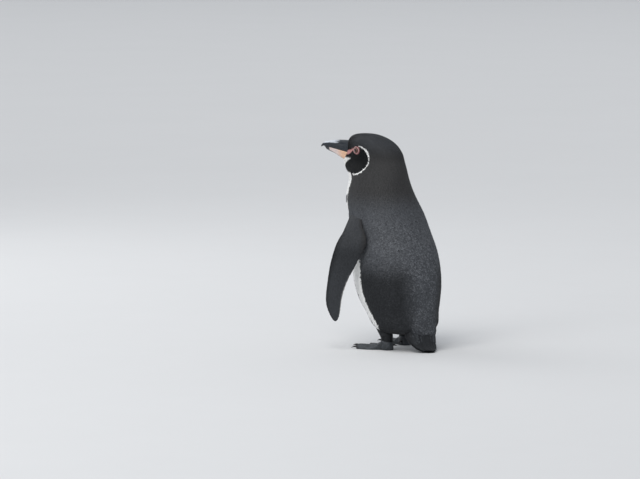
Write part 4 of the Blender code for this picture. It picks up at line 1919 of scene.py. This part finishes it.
    def tube_feathers(self, tube: Tube, masks: Callable, spacing: float, length: float, depth: float,
                      seed: int, shares: tuple = (0, 1)) -> Feathers:
        """Short feathers laid along a limb's own surface, pointing to its tip, slimmer at its edges.

        Args:
            tube: the limb's outline.
            masks: markings from places.
            spacing: distance between roots.
            length: length of a feather.
            depth: coat depth over the limb's skin.
            seed: seed of the scatter.
            shares: part of the limb that is feathered.

        Returns:
            The feathers.
        """
        rng = np.random.default_rng(seed)
        low, high = shares
        roots = scatter(lambda u, v: tube.at(low + (high - low) * u, v), lambda p: np.full(len(p), spacing))
        free = self.body.level(roots.points) > -0.06
        u, v = (low + (high - low) * roots.u)[free], roots.v[free]
        count, step = len(u), 0.004
        ahead = tube.at(minimum(u + step, 1), v) - tube.at(maximum(u - step, 0), v)
        around = tube.at(u, v + step) - tube.at(u, v - step)
        per_u, per_v = (2 * step / maximum(norm(way, axis=1), 0.02) for way in (ahead, around))
        turn = rng.normal(0, self.lean, count)
        size = length * rng.uniform(0.85, 1.15, count) * (0.45 + 0.55 * ease(1, 0.9, u))
        shift = rng.uniform(-0.5, 0.5, (2, count)) * spacing
        u, v = clip(u + shift[0] * per_u, 0, high), v + shift[1] * per_v
        ruffle = rng.uniform(0.88, 1.04, count)
        lines, normals = [], []
        for t in self.stations:
            at = clip(u + size * t * cos(turn) * per_u, 0, 1), v + size * t * sin(turn) * per_v
            normals.append(tube.normal(*at))
            rise = depth * ((1 - (1 - t) ** self.rise_power) * ruffle - 1)
            lines.append(tube.at(*at) + normals[-1] * rise[:, None])
        found = {**masks(lines[0]), "bare": zeros(count), "tone": rng.beta(2.2, 2.2, count),
                 "pale_tips_and_light": 0.3 * rng.random(count)}
        widths = size * 0.46 * (1 - 0.4 * abs(cos(TAU * v)) ** 8)
        return Feathers(stack(lines, axis=1), stack(normals, axis=1), widths,
                        np.column_stack([roots.v, roots.u])[free], found)

    def split(self, feathers: Feathers) -> list[tuple[str, Feathers]]:
        """Part the body's coat into pieces below the most that one may hold, by height and side.

        Args:
            feathers: the coat of the body.

        Returns:
            Name and feathers of each piece.
        """
        height, bearing = feathers.lines[:, 0, 2], self.body.bearing(feathers.lines[:, 0])
        zones = {
            "coat_crown": height > 308,
            "coat_face": (height <= 308) & (height > 282),
            "coat_neck": (height <= 282) & (height > 232),
            "coat_mantle": (height <= 232) & (height > 150) & (bearing > 80),
            "coat_breast": (height <= 232) & (height > 150) & (bearing <= 80),
            "coat_rump": (height <= 150) & (bearing > 84),
            "coat_belly": (height <= 150) & (bearing <= 84),
        }
        pieces = []
        for name, chosen in zones.items():
            batch = feathers.keep(chosen)
            low, high = batch.unwrap.min(axis=0), batch.unwrap.max(axis=0)
            batch.unwrap = (batch.unwrap - low) / maximum(high - low, 1e-9)
            if len(batch.lines) > self.most_per_piece:
                raise ValueError(f"{name} has {len(batch.lines)} feathers")
            pieces.append((name, batch))
        return pieces

    def build(self, material: Material) -> list[Piece]:
        """All pieces of the coat, dressed.

        Args:
            material: the plumage.

        Returns:
            The pieces.
        """
        batches = self.split(self.body_feathers())
        for side in Side:
            flipper, leg = self.flippers[side], self.legs[side]
            batches.append(("coat_flipper_" + side.word, self.tube_feathers(
                flipper, flipper.masks, *self.flipper_coat, 20 + side.value, (0, 0.97))))
            batches.append(("coat_leg_" + side.word, self.tube_feathers(
                leg, leg.masks, *self.leg_coat, 30 + side.value, (0.1, 0.92))))
        batches.append(("coat_tail_root", self.tube_feathers(
            self.tail, self.marks.masks, *self.tail_coat, 41, (0.1, 0.5))))
        made = [self.vane.build(name, batch) for name, batch in batches]
        for piece in made:
            piece.data.materials.append(material)
        return made


# ---- tail feathers

@dataclass(frozen=True)
class TailFan:
    """Stiff tail feathers in a wedge over and under the tail's root: outer ones shorter."""

    form: TailForm
    count: int = 15
    start_share: float = 0.36
    half_width: float = 3.3
    thickness: float = 0.5
    shaft: float = 0.5
    stations: int = 30
    around: int = 18

    def quill(self, index: int, lower: bool) -> Array:
        """One feather as rings: a flat oval with a bell-shaped shaft, laid on the tail's own surface.

        Args:
            index: its number across the tail.
            lower: whether it lies on the underside.

        Returns:
            (stations, around, 3) points.
        """
        side = (index - (self.count - 1) / 2) / ((self.count - 1) / 2)
        wobble = sin(2.3 * index + (1.1 if lower else 0))
        end = 0.995 - 0.24 * abs(side) ** 1.7 - 0.012 * wobble
        share = linspace(0, 1, self.stations)
        u = self.start_share + (end - self.start_share) * share
        aside = side * (0.9 + 0.25 * share ** 3) + 0.02 * wobble * share
        place = np.sign(aside) * clip(abs(aside), 0, 0.97) ** (self.form.across_power / 2)
        v = np.arccos(place) / TAU * (-1 if lower else 1)
        line, normal = self.form.at(u, v), self.form.normal(u, v)
        across = unit(cross(np.gradient(line, axis=0), normal))
        stagger = (0.1 + 0.45 * (index % 2) - 0.9 * abs(side)) * (-0.6 if lower else 1)
        line = line + normal * (stagger - 0.5 * (1 - share))[:, None]
        width = self.half_width * sqrt(clip(1 - share ** 6, 0.01, 1)) * (0.62 + 0.38 * (1 - share))
        turn = arange(self.around) / self.around * TAU
        out = cos(turn) * width[:, None]
        rise = sin(turn) * self.thickness / 2 * clip(1 - share ** 9, 0.05, 1)[:, None]
        rise = rise + self.shaft * (1.1 - share[:, None]) * bump(out, 0.5) * (sin(turn) > 0)
        rise = rise - 0.5 * (out / self.half_width) ** 2
        grid = line[:, None] + across[:, None] * out[..., None] + normal[:, None] * rise[..., None]
        grid[..., 2] = maximum(grid[..., 2], 0.15)
        return grid

    def build(self, material: Material) -> Piece:
        """All tail feathers as one piece of closed shells, with markings and the OFBake map.

        Args:
            material: the plumage.

        Returns:
            The piece.
        """
        share = linspace(0, 1, self.stations)
        along = append(repeat(share, self.around), [0, 1])
        turn = append(np.tile(arange(self.around) / self.around, self.stations), [0, 0])
        points, faces, tone, unwrap = [], [], [], []
        for row in range(2 * self.count):
            grid = self.quill(row % self.count, row < self.count)
            corner, triangles = closed_grid(grid)
            points.append(corner)
            faces.append(triangles + row * len(corner))
            tone.append(0.15 + 0.7 * ((row * GOLDEN) % 1) + 0 * along)
            unwrap.append(np.column_stack([(row + 0.1 + 0.8 * turn) / (2 * self.count), along]))
        faces, reach = vstack(faces), np.tile(along, 2 * self.count)
        obj = make_piece("tail_feathers", vstack(points), faces)
        values = {"tone": concatenate(tone), "reach": reach, "black": 0.62 + 0.2 * reach,
                  "pale_tips_and_light": 0.5 + 0 * reach}
        for name in MASKS:
            set_attribute(obj, name, values.get(name, 0 * reach))
        set_unwrap(obj, 0.01 + 0.98 * vstack(unwrap), faces)
        obj.data.materials.append(material)
        return obj


# ---- bill, eyes and claws

class Half(Enum):
    """Upper or lower half of the bill."""

    UPPER = 1
    LOWER = -1


@dataclass(frozen=True)
class Bill:
    """The bill's two horn halves over the solids' own stations, with grooves, edge and hook."""

    head: Head
    # distance ahead of the forehead, culmen, gape and underside heights, half width
    stations: tuple = (
        (-16, 328, 308.5, 294, 9),
        (0, 329.6, 311, 296, 8.2),
        (14, 329.8, 313.4, 300.5, 7.2),
        (28, 329.2, 315.8, 307.4, 6),
        (40, 327.6, 317.8, 311.8, 4.7),
        (48, 325.4, 319, 315, 3.5),
        (53, 322.8, 318.6, 316.8, 2.3),
        (55.7, 319.6, 317.2, 317, 1.1),
    )
    lower_end: float = 49
    gap: float = 0.3
    section_power: float = 2.4
    groove: float = 0.55
    rings: int = 110
    around: int = 72

    def columns(self, reach: Array) -> list[Array]:
        """Culmen, gape and underside heights and half width, at distances from the forehead."""
        return read_table(self.stations, reach)

    def holds(self, points: Array, margin: float) -> Array:
        """Test against the bill's section: (aside / half width)^p + (rise / height)^2 < 1.

        Args:
            points: places.
            margin: distance added to half width and height.

        Returns:
            Whether each lies inside.
        """
        seen = self.head.fold(points)
        reach = seen[:, 0] - self.head.bill_base
        culmen, gape, under, wide = self.columns(clip(reach, -15.9, 55.6))
        rise = seen[:, 2] - gape
        tall = where(rise > 0, culmen - gape, gape - under) + margin
        inside = (seen[:, 1] / (wide + margin)) ** self.section_power + abs(rise / tall) ** 2 < 1
        return inside & (reach > -16)

    def relief(self, reach: Array, turn: Array, half: Half) -> Array:
        """Depth of grooves under the plain section: nasal groove, plate seams, growth rings.

        Args:
            reach: distances from the forehead.
            turn: angles round the section.
            half: which half.

        Returns:
            Depths.
        """
        high = sin(turn)
        if half is Half.UPPER:
            along = ease(-4, 4, reach) * ease(34, 22, reach)
            depth = self.groove * bump(high - 0.62, 0.13) * along
            depth = depth + 0.7 * bump(high - 0.6, 0.1) * bump(reach - 13, 3.2)
            depth = depth + 0.35 * bump(reach - 42, 2.2) * clip(high, 0, 1)
            depth = depth - 0.28 * bump(high - 0.16, 0.13) * ease(50, 40, reach)
        else:
            along = ease(-2, 6, reach) * ease(40, 28, reach)
            depth = 0.35 * bump(high - 0.42, 0.1) * along - 0.2 * bump(high - 0.12, 0.1)
        rings = 0.05 * sin(TAU * reach / 2.1 + 3 * high) * ease(26, 8, reach)
        return (depth + rings) * (high > 0)

    def build(self, half: Half, material: Material) -> Piece:
        """One half as a closed loft: half a superellipse shut along the gape, sunk by the relief.

        Args:
            half: which half.
            material: its horn.

        Returns:
            The piece, with its masks of pale horn and warm tint; on the upper half the pale mask is mostly a
            painted highlight along the culmen, and on the lower half it leaves a painted shade along the
            underside.
        """
        end = self.stations[-1][0] if half is Half.UPPER else self.lower_end
        turn = append(linspace(0, pi, self.around - 16), linspace(pi, TAU, 18)[1:-1])
        reach, turn = meshgrid(linspace(self.stations[0][0], end, self.rings), turn, indexing="ij")
        culmen, gape, under, wide = self.columns(reach)
        high, upper = clip(sin(turn), 0, 1), half is Half.UPPER
        left = wide * where(sin(turn) < 0, cos(turn), round_power(cos(turn), self.section_power))
        tall = half.value * self.gap / 2 + (culmen - gape if upper else under - gape) * high
        scale = 1 - self.relief(reach, turn, half) / maximum(hypot(left, tall), 1e-3)
        left, tall = left * scale, tall * scale
        if upper:
            left = left * (1 - 0.16 * high ** 6 * ease(-4, 10, reach))
            # upper half: pale streak along the culmen's top, mostly a painted highlight
            pale = 0.75 * ease(0.50, 0.78, high) * ease(54, 47, reach) * ease(10, 30, reach)
        else:
            blunt = ease(self.lower_end + 0.01, self.lower_end - 5, reach)
            left, tall = left * (0.35 + 0.65 * blunt), tall * (0.4 + 0.6 * blunt)
            # lower half: the pale horn fades along the underside ridge, a painted shade under the bill
            pale = ease(41, 33, reach) * ease(1.12, 0.74, high + 0.2 * ease(20, 36, reach))
        grid = self.head.place(self.head.bill_base + reach, left, gape + tall)
        obj = grid_piece("bill_horn_" + half.name.lower(), grid)
        for name, mask in (("pale", pale), ("warm", ease(25, 8, reach) * (not upper))):
            set_attribute(obj, name, append(mask.ravel(), [mask[0, 0], mask[-1, 0]]))
        obj.data.materials.append(material)
        return obj


@dataclass(frozen=True)
class Eyeball:
    """Smooth eye with a slightly bulging cornea; its angle from the gaze is stored as `polar`."""

    head: Head
    cornea: float = 0.3
    shrink: float = 0.2
    rings: int = 70
    around: int = 72

    def build(self, side: Side, material: Material) -> Piece:
        """One eye, closed at both poles.

        Args:
            side: which eye.
            material: its finish.

        Returns:
            The piece.
        """
        centre, axis = self.head.eye(side), self.head.gaze(side)
        radius = self.head.eye_radius - self.shrink
        grid = sphere_grid(centre, axis, radius, self.rings, self.around, self.cornea)
        front, back = centre + axis * (radius + self.cornea), centre - axis * radius
        obj = grid_piece("eyeball_" + side.word, grid, front, back)
        polar = repeat(linspace(0, pi, self.rings + 2)[1:-1], self.around)
        set_attribute(obj, "polar", append(polar, [0, pi]))
        obj.data.materials.append(material)
        return obj


@dataclass(frozen=True)
class Claw:
    """Curved horn claw: an upright oval tapering as (1 - t^1.6) along a drooping path."""

    length: float = 10.3
    root_inset: float = 2.0
    half_width: float = 1.75
    half_height: float = 2.0
    droop: float = 1.9
    rings: int = 26
    around: int = 20

    def build(self, name: str, root: Array, ahead: Array, material: Material) -> Piece:
        """One claw.

        Args:
            name: piece name.
            root: where it leaves the toe.
            ahead: level unit vector along it.
            material: its horn.

        Returns:
            The claw.
        """
        t = linspace(0, 1, self.rings)
        turn = arange(self.around) / self.around * TAU
        aside, up = array([-ahead[1], ahead[0], 0]), array([0, 0, 1])
        taper = clip(1 - t ** 1.6, 0.10, 1)
        middle = (root + ahead * (self.length * t - self.root_inset)[:, None]
                  + up * (0.5 * sin(pi * t) - self.droop * t ** 2)[:, None])
        wide, tall = self.half_width * taper[:, None], self.half_height * taper[:, None]
        rise = sin(turn) * where(sin(turn) < 0, 0.8, 1)
        grid = middle[:, None] + aside * (wide * cos(turn))[..., None] + up * (tall * rise)[..., None]
        grid[..., 2] = maximum(grid[..., 2], 0.2)
        obj = grid_piece(name, grid)
        worn = append(repeat(0.6 * ease(0.5, 1, t), self.around), [0, 0.6])
        set_attribute(obj, "pale", worn)
        set_attribute(obj, "warm", 0 * worn)
        obj.data.materials.append(material)
        return obj


# ---- studio

@dataclass(frozen=True)
class Studio:
    """Camera, soft lights and a plain pale floor."""

    azimuth: float = radians(140)
    elevation: float = radians(6)
    distance: float = 5.0
    lens: float = 174.8
    aim_aside: float = -0.1255
    aim_up: float = 0.1735
    floor_rings: tuple = (200, 1000, 5000, 40000)
    floor_drop: float = 0.3
    floor_thickness: float = 50
    floor_sides: int = 96
    # metres, as all places of camera and lights
    light_distance: float = 2.2
    light_aim: float = 0.17
    sky: tuple = (0.82, 0.86, 0.92, 1)
    sky_strength: float = 0.62

    def add_camera(self, origin: Array) -> None:
        """Camera on a level turn round the bird, aimed beside it so that it stands right of the middle.

        Args:
            origin: middle of the bird.
        """
        away = array([sin(self.azimuth) * cos(self.elevation),
                      -cos(self.azimuth) * cos(self.elevation), sin(self.elevation)])
        right = array([cos(self.azimuth), sin(self.azimuth), 0])
        aim = origin + right * self.aim_aside + cross(away, right) * self.aim_up
        data = bpy.data.cameras.new("camera")
        data.lens = self.lens
        camera = bpy.data.objects.new("camera", data)
        bpy.context.scene.collection.objects.link(camera)
        camera.location = aim + away * self.distance
        camera.rotation_euler = (pi / 2 - self.elevation, 0, self.azimuth)
        bpy.context.scene.camera = camera

    def add_light(self, kind: str, azimuth: float, elevation: float, power: float,
                  **settings: object) -> None:
        """Soft light that faces the bird.

        Args:
            kind: "SUN" or "AREA".
            azimuth: degrees round the bird.
            elevation: degrees above the floor.
            power: its energy.
            settings: the lamp's own properties.
        """
        turn, lift, reach = radians(azimuth), radians(elevation), self.light_distance
        data = bpy.data.lights.new(kind.lower() + "_light", kind)
        for name, value in {"energy": power, **settings}.items():
            setattr(data, name, value)
        light = bpy.data.objects.new(data.name, data)
        bpy.context.scene.collection.objects.link(light)
        light.location = (reach * sin(turn) * cos(lift), -reach * cos(turn) * cos(lift),
                          self.light_aim + reach * sin(lift))
        light.rotation_euler = (pi / 2 - lift, 0, turn)

    def build(self, origin: Array, floor: Material) -> None:
        """Floor disc, sky, lights and camera.

        Args:
            origin: middle of the bird.
            floor: finish of the floor.
        """
        radii = array(self.floor_rings)[:, None]
        turn = arange(self.floor_sides) / self.floor_sides * TAU
        top = stack([radii * cos(turn), radii * sin(turn), 0 * radii * turn - self.floor_drop], axis=-1)
        obj = grid_piece("studio_floor", concatenate([top, top[-1:] - array([0, 0, self.floor_thickness])]))
        obj.data.materials.append(floor)
        world = bpy.data.worlds.new("studio")
        world.use_nodes = True
        Graph(world.node_tree).give(world.node_tree.nodes["Background"],
                                    {"Color": self.sky, "Strength": self.sky_strength})
        bpy.context.scene.world = world
        self.add_light("SUN", 115, 58, 1.5, angle=radians(40), color=(1, 0.98, 0.95))
        self.add_light("AREA", 95, 30, 7, size=0.9)
        self.add_light("AREA", 10, 35, 9, size=1.2)
        bpy.context.scene.view_settings.view_transform = "Standard"
        self.add_camera(origin)


# ---- the bird

@dataclass
class Bird(Forms):
    """The whole penguin, its parts in the order in which they are built."""

    def __post_init__(self) -> None:
        """Derive the forms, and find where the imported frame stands."""
        super().__post_init__()
        low, high = (array(corner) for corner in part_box("eye_left"))
        self.shift = (low + high) / 2 - self.head.eye(Side.LEFT) * MM

    def place(self, obj: Piece, slot: str, nodes: Sequence[str] = ()) -> None:
        """Move a piece onto the frame, attach it to the root body and hide the CAD parts that it stands for.

        Args:
            obj: the piece, in the bird's own frame.
            slot: material slot of the record; not used.
            nodes: CAD nodes that it stands for.
        """
        points = vertices_of(obj) * MM + self.shift
        obj.data.vertices.foreach_set("co", points.astype(np.float32).ravel())
        obj.data.update()
        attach(obj, "root")
        if nodes:
            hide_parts(*nodes)
        log.info("%s: %d triangles", obj.name, len(obj.data.loops) - 2 * len(obj.data.polygons))

    def build_plumage(self, effects: SharedEffects) -> None:
        """Skin, coat and tail feathers.

        Args:
            effects: shared groups.
        """
        plumage = PlumageFinish().build("plumage", effects)
        under = PlumageFinish(tip=(0.06, 0.064, 0.07), sheen=0).build("plumage_skin", effects)
        leather = LeatherFinish((0.022, 0.026, 0.031), (0.062, 0.070, 0.080)).build("foot_leather", effects)
        pink = LeatherFinish((0.40, 0.19, 0.19), (0.55, 0.34, 0.33), cells=1800, relief=0.08, roughness=0.42)
        lids = pink.build("lid_skin", effects)
        flesh = ["head", "neck", "trunk", "tail"] + [
            f"{part}_{side.word}" for part in ("flipper", "leg", "foot") for side in Side]
        skin = Skin(self.body).build({"feathered": under, "leather": leather, "lid": lids})
        self.place(skin, "dark_plumage", flesh)
        for piece in Coat(self.body).build(plumage):
            self.place(piece, "tail_plumage" if "tail" in piece.name else "dark_plumage")
        self.place(TailFan(self.tail).build(plumage), "tail_plumage")

    def build_horn(self, effects: SharedEffects) -> None:
        """Bill, eyes and claws.

        Args:
            effects: shared groups.
        """
        # upper bill: its pale colour is mostly a painted highlight along the culmen's top
        horn = HornFinish((0.014, 0.018, 0.024), (0.50, 0.53, 0.58), (0.62, 0.40, 0.30))
        lower = HornFinish((0.016, 0.018, 0.022), (0.66, 0.55, 0.52), (0.74, 0.46, 0.30))
        nail = HornFinish((0.014, 0.013, 0.013), (0.07, 0.065, 0.06), (0.06, 0.05, 0.04), roughness=0.38)
        for half, finish, name, slot in ((Half.UPPER, horn, "dark_bill", "dark_bill_horn"),
                                         (Half.LOWER, lower, "pale_bill", "pale_bill_horn")):
            self.place(self.bill.build(half, finish.build(name, effects)), slot,
                       ["bill_" + half.name.lower()])
        eye, claw = EyeFinish().build("eye", effects), nail.build("claw", effects)
        for side in Side:
            self.place(Eyeball(self.head).build(side, eye), "eyeball", ["eye_" + side.word])
            foot = self.feet[side]
            places = [(a, r, foot.claw_height) for a, r in zip(foot.toe_angles, foot.toe_reach)]
            places.append(foot.hind_claw)
            for toe, (angle, reach, height) in zip(("inner", "middle", "outer", "hind"), places):
                name = f"{toe}_{side.word}"
                piece = Claw().build("toenail_" + name, *foot.toe_end(angle, reach, height), claw)
                self.place(piece, "claw_horn", ["claw_" + name])


def main() -> None:
    """Build the bird and the studio."""
    logging.basicConfig(level=logging.INFO, format="%(name)s %(message)s")
    bird, effects = Bird(), SharedEffects()
    bird.build_plumage(effects)
    bird.build_horn(effects)
    Studio().build(bird.shift, FloorFinish().build("floor", effects))
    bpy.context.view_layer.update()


if __name__ == "__main__":
    main()
